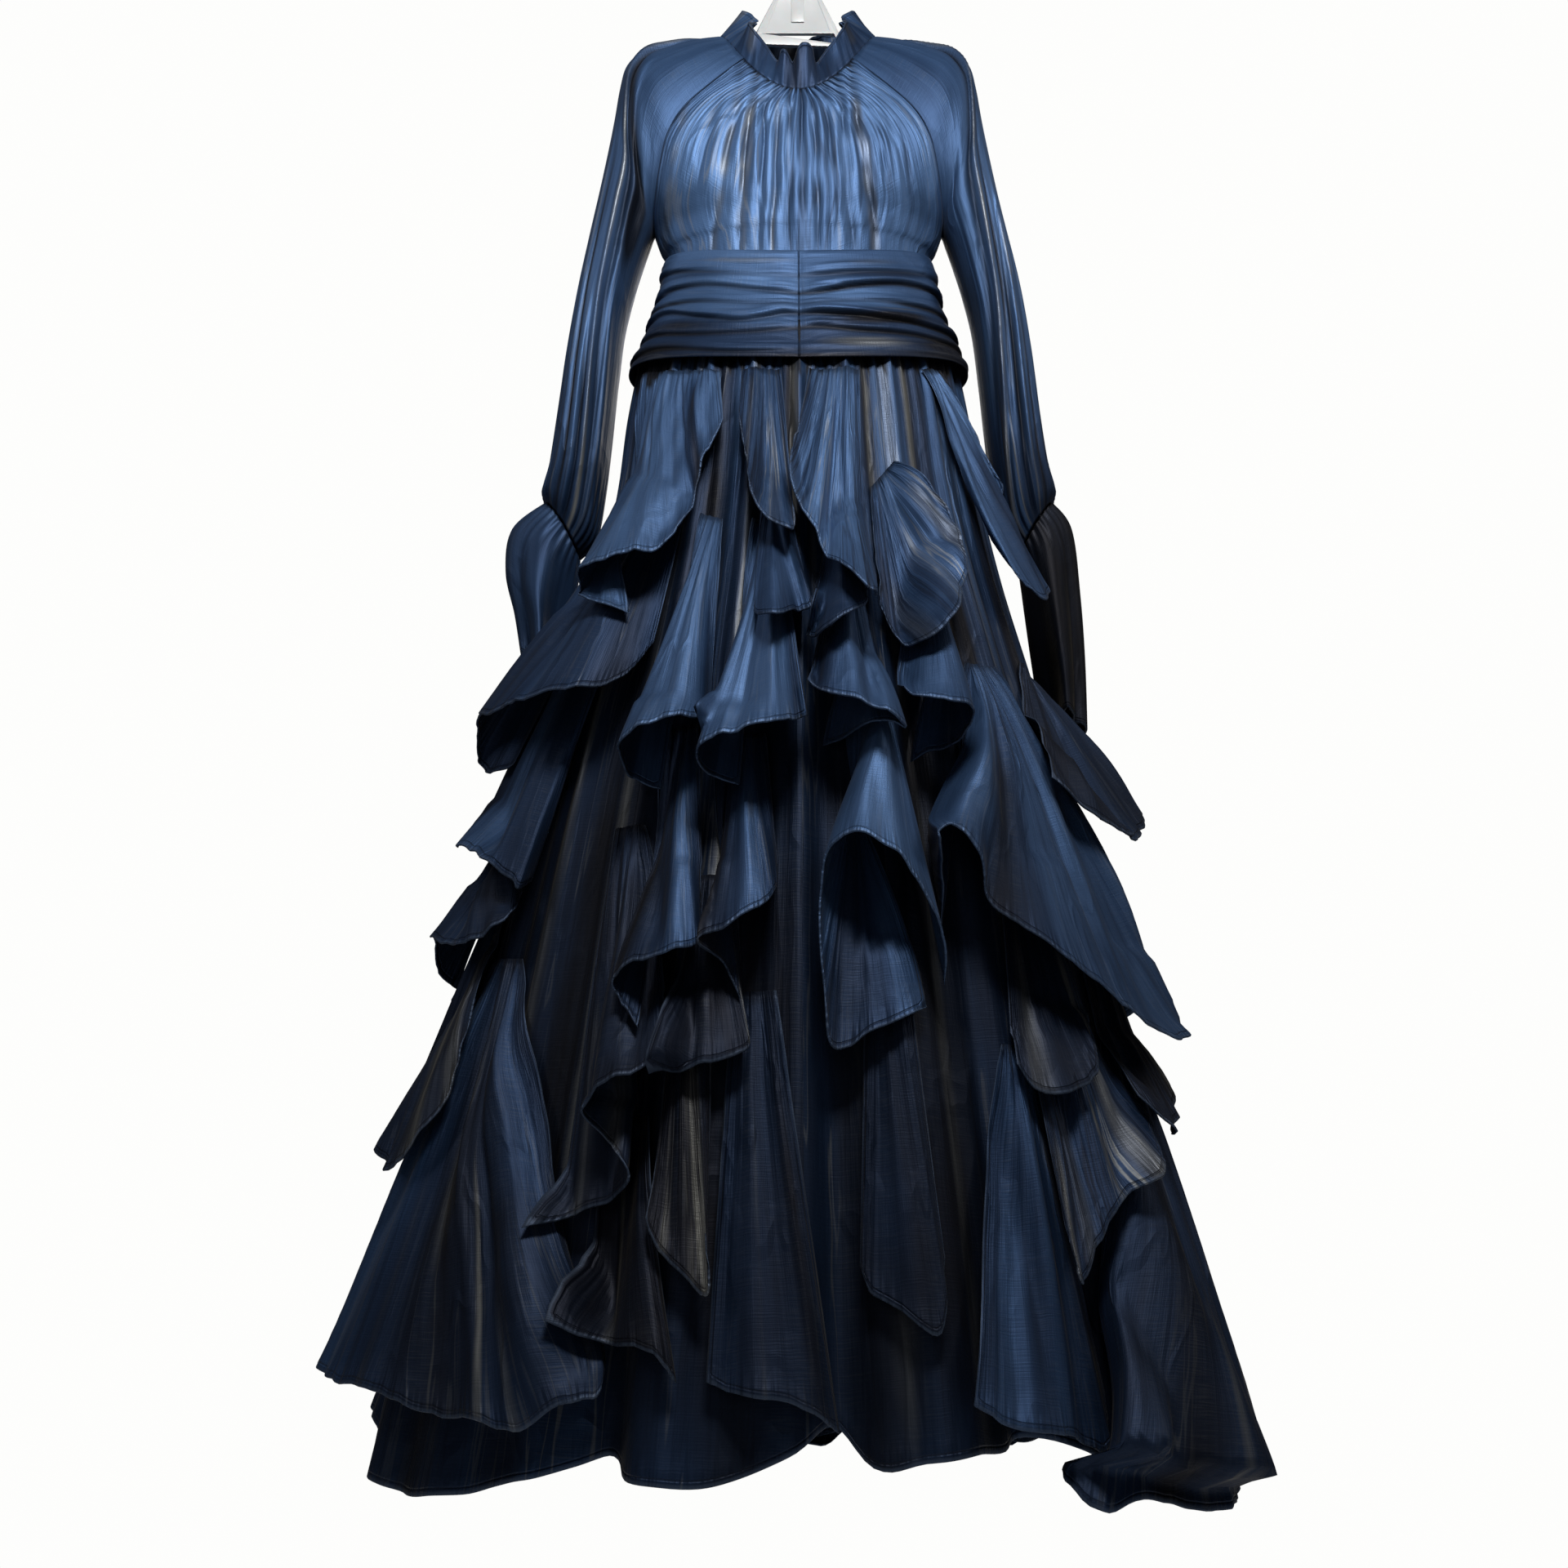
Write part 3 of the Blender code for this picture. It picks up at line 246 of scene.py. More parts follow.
    nearHem = 1.0 - hem.between(0.003, 0.030)
    wave = cloth.noise(cloth.mapping(uv, (190.0, 9.0, 1.0)), 1.0, 1.0, 0.5)
    height = (
        (longGrain * 0.34 + fineGrain * 0.34 + sharp * 0.12) * (0.15 + 1.4 * crush)
        + crumple * (0.20 + 0.9 * crush)
        + pressed * (0.26 + 0.20 * crush)
        + nearHem * nearHem * wave * (look["puckerDepth"] / look["wrinkleDepth"])
        + (slub + crossSlub) * (look["slubDepth"] / look["wrinkleDepth"])
        - stitch * 0.22
    )
    cloth.put(cloth.shader.inputs["Normal"], cloth.bump(height, look["wrinkleDepth"] * 2.2, 1.0))
    cloth.shader.inputs["Specular IOR Level"].default_value = 0.32
    cloth.shader.inputs["Specular Tint"].default_value = look["warmShine"]
    cloth.shader.inputs["Sheen Weight"].default_value = look["sheen"]
    cloth.shader.inputs["Sheen Roughness"].default_value = 0.35
    cloth.shader.inputs["Sheen Tint"].default_value = (0.95, 0.82, 0.62, 1.0)
    return cloth.material


satin = makeSatin("shotSatin", satinLook)
print("finishes ready")


# Tables and curves

# height, half width, half depth of the plain skirt form
skirtForm = (
    (1.127, 0.166, 0.076), (1.050, 0.178, 0.093), (0.950, 0.188, 0.115), (0.850, 0.206, 0.135),
    (0.750, 0.230, 0.155), (0.650, 0.254, 0.172), (0.570, 0.270, 0.185), (0.300, 0.312, 0.225),
    (0.000, 0.352, 0.262), (-0.080, 0.360, 0.270),
)


def smoothAlong(table, key):
    rows = np.array(table, float)
    if rows[0, 0] > rows[-1, 0]:
        rows = rows[::-1]
    keys = rows[:, 0]
    key = np.clip(key, keys[0], keys[-1])
    slopes = np.gradient(rows[:, 1:], keys, axis=0)
    i = np.clip(np.searchsorted(keys, key, side="right") - 1, 0, len(keys) - 2)
    span = (keys[i + 1] - keys[i])[..., None]
    t = (key - keys[i])[..., None] / span
    start, end = rows[i, 1:], rows[i + 1, 1:]
    return (
        (2 * t**3 - 3 * t**2 + 1) * start + (t**3 - 2 * t**2 + t) * slopes[i] * span
        + (3 * t**2 - 2 * t**3) * end + (t**3 - t**2) * slopes[i + 1] * span
    )


def softStep(value, low, high):
    share = np.clip((value - low) / (high - low), 0, 1)
    return share * share * (3 - 2 * share)


def hill(value, centre, width):
    return np.exp(-((value - centre) / width) ** 2)


# a smooth line of random height along 0 to 1, the same on each run
def wander(seed, knots, at):
    random = np.random.default_rng(seed)
    values = random.uniform(-1, 1, knots + 3)
    place = np.clip(np.asarray(at), 0, 1) * knots
    i = np.clip(np.floor(place).astype(int), 0, knots)
    t = place - i
    t = t * t * (3 - 2 * t)
    return values[i] * (1 - t) + values[i + 1] * t


# Sheets of cloth

clothThickness = 0.0007


def gridNormals(grid):
    down = np.gradient(grid, axis=0)
    across = np.gradient(grid, axis=1)
    normal = np.cross(down, across)
    return normal / np.maximum(np.linalg.norm(normal, axis=2, keepdims=True), 1e-9)


def clothSheet(name, grid, uv, marks, closedFrom=None, flip=False):
    rows, columns = grid.shape[:2]
    index = np.arange(rows * columns).reshape(rows, columns)
    corner = index.copy()
    if closedFrom is not None:
        index[closedFrom:, -1] = index[closedFrom:, 0]

    def quads(source):
        around = [source[:-1, :-1], source[1:, :-1], source[1:, 1:], source[:-1, 1:]]
        return np.stack(around, axis=-1).reshape(-1, 4)

    faces, corners = quads(index), quads(corner)
    if flip:
        faces, corners = faces[:, ::-1], corners[:, ::-1]
    used, faces = np.unique(faces, return_inverse=True)
    faces = faces.reshape(-1, 4)
    points = grid.reshape(-1, 3)[used] - [0, 0, hookSeat]
    mesh = bpy.data.meshes.new(name + "Cloth")
    mesh.from_pydata(points.tolist(), [], faces.tolist())
    layer = mesh.uv_layers.new(name="UVMap")
    layer.data.foreach_set("uv", uv.reshape(-1, 2)[corners.ravel()].astype(np.float32).ravel())
    for key, values in marks.items():
        spread = np.broadcast_to(values, (rows, columns)).reshape(-1)[used]
        mesh.attributes.new(key, "FLOAT", "POINT").data.foreach_set("value", spread.astype(np.float32))
    mesh.shade_smooth()
    mesh.materials.append(satin)
    made = bpy.data.objects.new(name + "Cloth", mesh)
    bpy.context.scene.collection.objects.link(made)
    wall = made.modifiers.new("cloth thickness", "SOLIDIFY")
    wall.thickness = clothThickness
    wall.offset = 0.0
    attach(made, "root")
    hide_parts(name)
    return made


def gridArea(grid):
    diagonal = grid[1:, 1:] - grid[:-1, :-1]
    lower = np.linalg.norm(np.cross(grid[1:, :-1] - grid[:-1, :-1], diagonal), axis=2).sum() / 2
    upper = np.linalg.norm(np.cross(diagonal, grid[:-1, 1:] - grid[:-1, :-1]), axis=2).sum() / 2
    return float(lower + upper)


def flatSize(grid, width):
    return (width, gridArea(grid) / width)


def metres(grid):
    step = np.linalg.norm(np.diff(grid, axis=0), axis=2)
    return np.vstack([np.zeros((1, grid.shape[1])), np.cumsum(step, axis=0)])


# Neck, bodice, sleeves

neckLook = {
    "halfWidth": 0.090,
    "halfDepth": 0.064,
    "front": 1.437,
    "side": 1.553,
    "frontSeam": 43.0,
    "backSeam": 138.0,
}

# top or outer edge x, h; front raglan seam x, h; back raglan seam x, h; half depth; wrap angle; set back
sleeveOpen = (
    (0.118, 1.5447, 0.100, 1.447, 0.100, 1.505, 0.056, 90, 0.000),
    (0.150, 1.5353, 0.128, 1.412, 0.130, 1.460, 0.062, 100, 0.000),
    (0.178, 1.5270, 0.145, 1.378, 0.148, 1.410, 0.064, 112, 0.000),
    (0.197, 1.508, 0.153, 1.345, 0.155, 1.365, 0.062, 126, 0.001),
    (0.204, 1.478, 0.158, 1.318, 0.158, 1.328, 0.060, 143, 0.002),
    (0.209, 1.438, 0.161, 1.299, 0.161, 1.301, 0.057, 162, 0.003),
)

# outer edge x, h; inner edge x, h; half depth; set back
sleeveTube = (
    (0.214, 1.398, 0.1635, 1.284, 0.054, 0.000), (0.223, 1.345, 0.172, 1.258, 0.053, 0.004),
    (0.234, 1.285, 0.182, 1.222, 0.051, 0.008), (0.246, 1.215, 0.192, 1.175, 0.051, 0.013),
    (0.256, 1.140, 0.198, 1.115, 0.053, 0.018), (0.263, 1.070, 0.203, 1.050, 0.055, 0.022),
    (0.270, 1.010, 0.209, 0.985, 0.054, 0.026), (0.277, 0.980, 0.218, 0.930, 0.044, 0.029),
    (0.272, 0.968, 0.235, 0.906, 0.031, 0.030),
)

# outer edge x, h; inner edge x, h; half depth; set back; wave depth
cuffForm = {
    1: (
        (0.2725, 0.9665, 0.2355, 0.9045, 0.032, 0.030, 0.001),
        (0.292, 0.935, 0.240, 0.872, 0.038, 0.034, 0.003),
        (0.296, 0.860, 0.249, 0.815, 0.042, 0.040, 0.006),
        (0.296, 0.785, 0.258, 0.765, 0.045, 0.045, 0.008),
        (0.294, 0.715, 0.264, 0.725, 0.047, 0.050, 0.010),
    ),
    -1: (
        (0.2725, 0.9665, 0.2355, 0.9045, 0.032, 0.030, 0.001),
        (0.306, 0.935, 0.240, 0.872, 0.040, 0.034, 0.004),
        (0.309, 0.885, 0.248, 0.830, 0.045, 0.038, 0.007),
        (0.296, 0.835, 0.253, 0.795, 0.048, 0.042, 0.010),
        (0.287, 0.790, 0.258, 0.765, 0.051, 0.046, 0.012),
    ),
}

# height, half width, front depth, back depth of the bodice below the underarm
bodiceForm = (
    (1.283, 0.1590, 0.0692, 0.065), (1.264, 0.1525, 0.0682, 0.061), (1.248, 0.1445, 0.0664, 0.058),
    (1.190, 0.146, 0.063, 0.060), (1.1282, 0.166, 0.076, 0.076),
)


def neckPoint(angle):
    turn = np.radians(angle)
    rise = np.where(np.abs(angle) < 90, np.sin(turn) ** 2, 1.0)
    height = neckLook["front"] + (neckLook["side"] - neckLook["front"]) * rise
    across = neckLook["halfWidth"] * np.sin(turn)
    return np.stack([across, -neckLook["halfDepth"] * np.cos(turn), height], axis=-1)


def sleeveRing(row, share):
    outerX, outerH, frontX, frontH, backX, backH, depth, wrap, setBack = row
    turn = np.radians(wrap) * (2 * share - 1)
    hold = math.cos(math.radians(wrap))
    outer = np.array([outerX, outerH])
    points = np.zeros((len(share), 3))
    for side, edge in ((turn <= 0, (frontX, frontH)), (turn > 0, (backX, backH))):
        centre = (np.array(edge) - outer * hold) / (1 - hold)
        across = centre + (outer - centre) * np.cos(turn)[:, None]
        points[side, 0] = across[side, 0]
        points[side, 2] = across[side, 1]
    points[:, 1] = depth * np.sin(turn) + setBack
    return points


# fills in rows between the rows of a list of rings, by Catmull-Rom down each column
def moreRows(rings, counts):
    rings = np.array(rings)
    count = len(rings)
    out = []
    for i in range(count - 1):
        before, after = rings[max(i - 1, 0)], rings[min(i + 2, count - 1)]
        for k in range(counts[i]):
            t = k / counts[i]
            out.append(0.5 * (
                2 * rings[i] + (rings[i + 1] - before) * t
                + (2 * before - 5 * rings[i] + 4 * rings[i + 1] - after) * t * t
                + (3 * rings[i] - before - 3 * rings[i + 1] + after) * t**3
            ))
    out.append(rings[-1])
    return np.array(out)


def sleeveRows(columns):
    share = np.linspace(0, 1, columns)
    span = neckLook["backSeam"] - neckLook["frontSeam"]
    rows = [neckPoint(neckLook["frontSeam"] + span * share)]
    rows += [sleeveRing(row, share) for row in sleeveOpen]
    underarm = len(rows)
    for outerX, outerH, innerX, innerH, depth, setBack in sleeveTube:
        ring = (outerX, outerH, innerX, innerH, innerX, innerH, depth, 180, setBack)
        rows.append(sleeveRing(ring, share))
    return np.array(rows), underarm


sleeveLook = {
    "columns": 217, "flatWidth": 0.42,
    # place round the sleeve at the shoulder, the underarm and the cuff (0 underarm, 0.25 front, 0.5 outer
    # edge), depth in mm, width, from, to (-1 neck, 0 underarm, 1 cuff)
    "folds": {
        -1: (
            (0.45, 0.275, 0.19, 5.0, 0.014, -0.95, 1.00), (0.41, 0.235, 0.15, -6.0, 0.020, -0.80, 0.85),
            (0.52, 0.150, 0.08, -6.0, 0.046, -0.55, 0.12), (0.33, 0.190, 0.11, 3.5, 0.020, -0.60, 0.75),
            (0.48, 0.345, 0.30, -3.5, 0.012, 0.05, 0.95), (0.48, 0.375, 0.335, 3.0, 0.010, -0.05, 1.00),
            (0.50, 0.430, 0.400, -3.0, 0.010, 0.30, 1.00), (0.30, 0.290, 0.265, 3.0, 0.012, 0.45, 1.00),
            (0.27, 0.260, 0.235, -4.5, 0.012, 0.55, 1.00),
        ),
        1: (
            (0.47, 0.285, 0.13, 5.0, 0.012, -0.95, 0.85), (0.43, 0.245, 0.09, -6.0, 0.026, -0.85, 0.70),
            (0.50, 0.325, 0.17, -4.0, 0.012, -0.70, 0.60), (0.49, 0.365, 0.27, 4.5, 0.012, 0.00, 1.00),
            (0.50, 0.330, 0.235, -5.0, 0.018, 0.30, 1.00), (0.30, 0.170, 0.06, 3.0, 0.030, -0.30, 0.45),
            (0.50, 0.440, 0.370, 3.0, 0.014, 0.25, 1.00), (0.50, 0.410, 0.330, -4.0, 0.012, 0.50, 1.00),
            (0.20, 0.200, 0.190, 3.0, 0.012, 0.55, 1.00),
        ),
    },
    "behind": (
        (0.56, 0.56, 0.56, 4.5, 0.030, 0.0, 1.0), (0.62, 0.62, 0.61, -4.5, 0.014, 0.0, 1.0),
        (0.70, 0.69, 0.68, 4.0, 0.028, 0.0, 1.0), (0.76, 0.76, 0.77, -4.5, 0.014, 0.1, 1.0),
        (0.84, 0.84, 0.83, 4.0, 0.028, 0.0, 1.0), (0.91, 0.91, 0.92, -4.0, 0.014, 0.2, 1.0),
    ),
    "fineFolds": 24,
    # the same places, then width, strength, from, to of the painted sheen highlights
    "shine": {
        -1: (
            (0.445, 0.272, 0.187, 0.009, 1.0, -0.90, 1.00), (0.480, 0.378, 0.336, 0.005, 0.7, 0.00, 1.00),
            (0.340, 0.200, 0.115, 0.004, 0.5, -0.20, 0.90), (0.500, 0.450, 0.430, 0.005, 0.6, 0.30, 1.00),
        ),
        1: (
            (0.467, 0.287, 0.133, 0.008, 1.0, -0.90, 0.85), (0.49, 0.367, 0.273, 0.006, 0.9, 0.10, 1.00),
            (0.53, 0.500, 0.470, 0.012, 0.6, -0.50, 0.60), (0.20, 0.204, 0.194, 0.004, 0.6, 0.55, 1.00),
        ),
    },
    # how lit each sleeve is: painted light and shade
    "tone": {-1: 0.82, 1: 0.74},
}


# short thin folds scattered over a sheet: across and down are 0 to 1, the tables give the spread of each
def fineFolds(seed, count, across, down, slant, width, depth, ends=0.12):
    random = np.random.default_rng(seed)
    lift = np.zeros(np.broadcast(across, down).shape)
    for _ in range(count):
        place = random.uniform(0, 1)
        start = random.uniform(-0.1, 0.9)
        length = random.uniform(0.15, 0.55)
        lean = random.uniform(-slant, slant)
        wide = random.uniform(width[0], width[1])
        deep = random.uniform(-depth, depth)
        form = hill(across, place + lean * (down - start), wide)
        fade = 1 - softStep(down, start + length, start + length + ends)
        lift += deep * form * softStep(down, start, start + ends) * fade
    return lift


def makeSleeve(name, side):
    look = sleeveLook
    columns = look["columns"]
    rows, underarm = sleeveRows(columns)
    counts = [5, 5, 5, 5, 5, 5, 5] + [9, 10, 11, 11, 11, 10, 6, 5]
    rings = moreRows(rows, counts[:len(rows) - 1])
    opened = sum(counts[:underarm])
    total = len(rings)
    rings[opened:, -1] = rings[opened:, 0]
    share = np.linspace(0, 1, columns)[None, :]
    row = np.arange(total) - opened
    down = np.where(row < 0, row / opened, row / (total - 1 - opened))[:, None]
    middle = rings.mean(axis=1, keepdims=True)
    outward = rings - middle
    outward /= np.linalg.norm(outward, axis=2, keepdims=True)

    def line(top, mid, low, number):
        at = np.where(down < 0, mid + (top - mid) * (-down) ** 1.2, mid + (low - mid) * down)
        return at + 0.006 * wander(40 + number + side, 5, (down[:, 0] + 1) / 2)[:, None]

    def within(start, end):
        return softStep(down, start - 0.12, start + 0.20) * (1 - softStep(down, end - 0.05, end + 0.25))

    lift = np.zeros((total, columns))
    # painted shade for the deep folds
    grooveShade = np.zeros((total, columns))
    for number, fold in enumerate(look["folds"][side] + look["behind"]):
        top, mid, low, depth, width, start, end = fold
        gap = np.abs(share - line(top, mid, low, number))
        gap = np.minimum(gap, 1 - gap)
        strength = 0.75 + 0.35 * wander(60 + number + 2 * side, 6, (down[:, 0] + 1) / 2)[:, None]
        form = within(start, end) * strength * hill(gap, 0, width)
        lift += 0.001 * depth * form
        grooveShade += (depth < -3.4) * form * (1.6 if width > 0.04 else 1.0)
    lift += fineFolds(81 + side, look["fineFolds"], share, (down + 0.25) / 1.25, 0.05, (0.004, 0.011),
                      0.0018)
    gather = softStep(down, 0.80, 0.99)
    lift += 0.0016 * gather * np.cos(2 * math.pi * 26 * share + 2 * np.sin(9 * share))
    lift *= 1 - 0.75 * softStep(down, 0.93, 1.0)
    lift *= softStep(down, -1.0, -0.8)
    grid = rings + outward * lift[..., None]
    openPart = grid[:opened]
    along = np.stack([openPart[:, 1] - openPart[:, 0], openPart[:, -2] - openPart[:, -1]])
    along /= np.linalg.norm(along, axis=2, keepdims=True)
    grid[:opened, 0] += along[0] * seam
    grid[:opened, -1] += along[1] * seam
    grid[0, :, 2] -= seam
    grid[opened:, -1] = grid[opened:, 0]
    # painted sheen highlights along the fold ridges
    shine = np.zeros((total, columns))
    for number, (top, mid, low, width, strength, start, end) in enumerate(look["shine"][side]):
        patchy = 0.6 + 0.5 * wander(90 + number + side, 12, (down[:, 0] + 1) / 2)[:, None]
        at = line(top, mid, low, number if number < 1 else 50)
        shine += strength * patchy * hill(share, at, width) * within(start, end)
    grid[:, :, 0] *= side
    width = 0.36
    uv = np.stack([np.broadcast_to(share * width, (total, columns)), metres(grid)], axis=-1)
    edge = np.minimum(share, 1 - share) * width
    edge = np.where(down < 0.0, edge, 0.05)
    # painted shade: darker at the cuff's gathers, in the deep folds, in the underarm and near the underarm
    # seam down the sleeve
    shadeAmount = 0.55 * softStep(down, 0.985, 1.0) + 1.05 * np.clip(grooveShade, 0, 0.9)
    underarm = np.minimum(share, 1 - share)
    shadeAmount = shadeAmount + 0.85 * np.exp(-((underarm / 0.05) ** 2)) * np.exp(-((down - 0.03) / 0.10) ** 2)
    shadeAmount = shadeAmount + 0.35 * hill(share, 0.06, 0.07) * softStep(down, -0.1, 0.2)
    gap = np.where((edge < 0.0028) & (down < 0), 0.0045, 0.05)
    # painted light and shade: darker towards the shoulder and towards the cuff
    tone = look["tone"][side] - 0.16 * softStep(-down, 0.0, 0.6) - 0.30 * softStep(down, 0.45, 1.0)
    marks = {"shine": np.clip(shine, 0, 1), "hem": gap, "crush": 0.06 + 0.12 * softStep(down, -0.1, 0.3),
             "tint": np.clip(shadeAmount, 0, 0.92), "tone": tone}
    flat = flatSize(grid, look["flatWidth"])
    return clothSheet(name, grid, uv, marks, opened, side < 0)


cuffLook = {
    "columns": 97, "waves": 4, "ripple": 0.0020, "flatWidth": 0.30,
    # each cuff's painted light level and painted shade: the right cuff is in deep shade
    "tone": {-1: 0.62, 1: 0.12}, "shadeAmount": {-1: 0.1, 1: 0.5},
}


def makeCuff(name, side):
    columns = cuffLook["columns"]
    share = np.linspace(0, 1, columns)
    rings = []
    for outerX, outerH, innerX, innerH, depth, setBack, wave in cuffForm[side]:
        ring = sleeveRing((outerX, outerH, innerX, innerH, innerX, innerH, depth, 180, setBack), share)
        outward = ring - ring[:-1].mean(axis=0)
        outward /= np.linalg.norm(outward, axis=1, keepdims=True)
        spread = wave * np.cos(2 * math.pi * cuffLook["waves"] * share + 0.6)
        rings.append(ring + outward * spread[:, None])
    grid = moreRows(rings, [9, 10, 10, 10])
    grid[:, -1] = grid[:, 0]
    rows = len(grid)
    down = np.linspace(0, 1, rows)[:, None]
    outward = grid - grid[:, :-1].mean(axis=1, keepdims=True)
    outward /= np.linalg.norm(outward, axis=2, keepdims=True)
    ripple = cuffLook["ripple"] * (
        np.cos(2 * math.pi * 9 * share[None, :] + 1.0) * down**2
        + 0.8 * np.cos(2 * math.pi * 22 * share[None, :]) * softStep(1 - down, 0.70, 1.0)
    )
    grid = grid + outward * ripple[..., None]
    grid = rolledHem(grid, 0.0011)
    rows = len(grid)
    grid[:, -1] = grid[:, 0]
    grid[0, :, 2] -= seam
    grid[:, :, 0] *= side
    fallLength = metres(grid)
    total = fallLength[-1]
    uv = np.stack([np.broadcast_to(share[None, :] * 0.28, (rows, columns)), fallLength], axis=-1)
    # painted sheen highlights along two folds
    shine = 0.15 * hill(share, 0.42, 0.02) + 0.10 * hill(share, 0.18, 0.02) + np.zeros((rows, 1))
    up = 1 - np.linspace(0, 1, rows)[:, None]
    # painted shade: darker still at the top of the cuff, under the sleeve
    marks = {
        "shine": shine, "hem": np.clip(total - fallLength - 0.004, 0, 1), "crush": 0.05,
        "tint": cuffLook["shadeAmount"][side] + 0.4 * softStep(up, 0.96, 1.0), "tone": cuffLook["tone"][side],
    }
    flat = flatSize(grid, cuffLook["flatWidth"])
    return clothSheet(name, grid, uv, marks, 0, side < 0)


# turns the last row of a grid back under itself in a narrow roll
def rolledHem(grid, radius, ends=0.0):
    normal = gridNormals(grid)[-1]
    if ends:
        along = np.linspace(0, 1, grid.shape[1])[:, None]
        radius = radius * (0.15 + 0.85 * softStep(np.minimum(along, 1 - along), 0, ends))
    down = grid[-1] - grid[-2]
    down -= (down * normal).sum(axis=1, keepdims=True) * normal
    down /= np.maximum(np.linalg.norm(down, axis=1, keepdims=True), 1e-9)
    rows = [grid]
    for turn in np.radians((60, 120, 180, 240, 290)):
        rows.append((grid[-1] + radius * math.sin(turn) * down
                     - radius * (1 - math.cos(turn)) * normal)[None])
    return np.concatenate(rows)


bodiceLook = {
    "columns": 241, "backColumns": 97, "flatWidth": 0.40,
    # mm from the centre at the neck and at the sash, depth and width in mm
    "folds": (
        (-64, -92, -4.6, 4.6), (-56, -76, 3.6, 4.6), (-49, -65, -5.0, 3.6), (-41, -54, 3.0, 3.6),
        (-34, -43, -3.4, 2.8), (-28, -36, 2.6, 3.2), (-21, -28, -3.0, 2.6), (-15, -20, 2.6, 3.2),
        (-9, -12, -3.2, 2.6), (-3, -4, 2.2, 3.2), (4, 5, -2.6, 2.6), (10, 13, 2.6, 3.2),
        (16, 21, -3.4, 2.6), (23, 30, 2.8, 3.2), (30, 38, -3.2, 3.0), (37, 47, 2.8, 3.6),
        (44, 57, -3.4, 3.4), (51, 68, 3.0, 4.4), (58, 82, -5.0, 4.6), (65, 98, 3.0, 6.0),
        (-74, -112, 2.2, 9.0), (76, 116, 2.0, 9.0), (-82, -128, -1.6, 8.0), (84, 134, -1.6, 8.0),
    ),
    # painted sheen highlights: mm from the centre at the neck and at the sash, width in mm, strength
    "shine": (
        (-64, -92, 5, 0.7), (-49, -66, 5, 1.0), (-45, -60, 3, 0.5), (-21, -28, 2.2, 0.5),
        (16, 21, 2.2, 0.5), (58, 82, 5, 0.9), (62, 88, 2.5, 0.6), (-120, -150, 5, 0.5),
        (36, 44, 2.0, 0.35), (-9, -12, 2.0, 0.3),
    ),
    "gathers": 27,
}


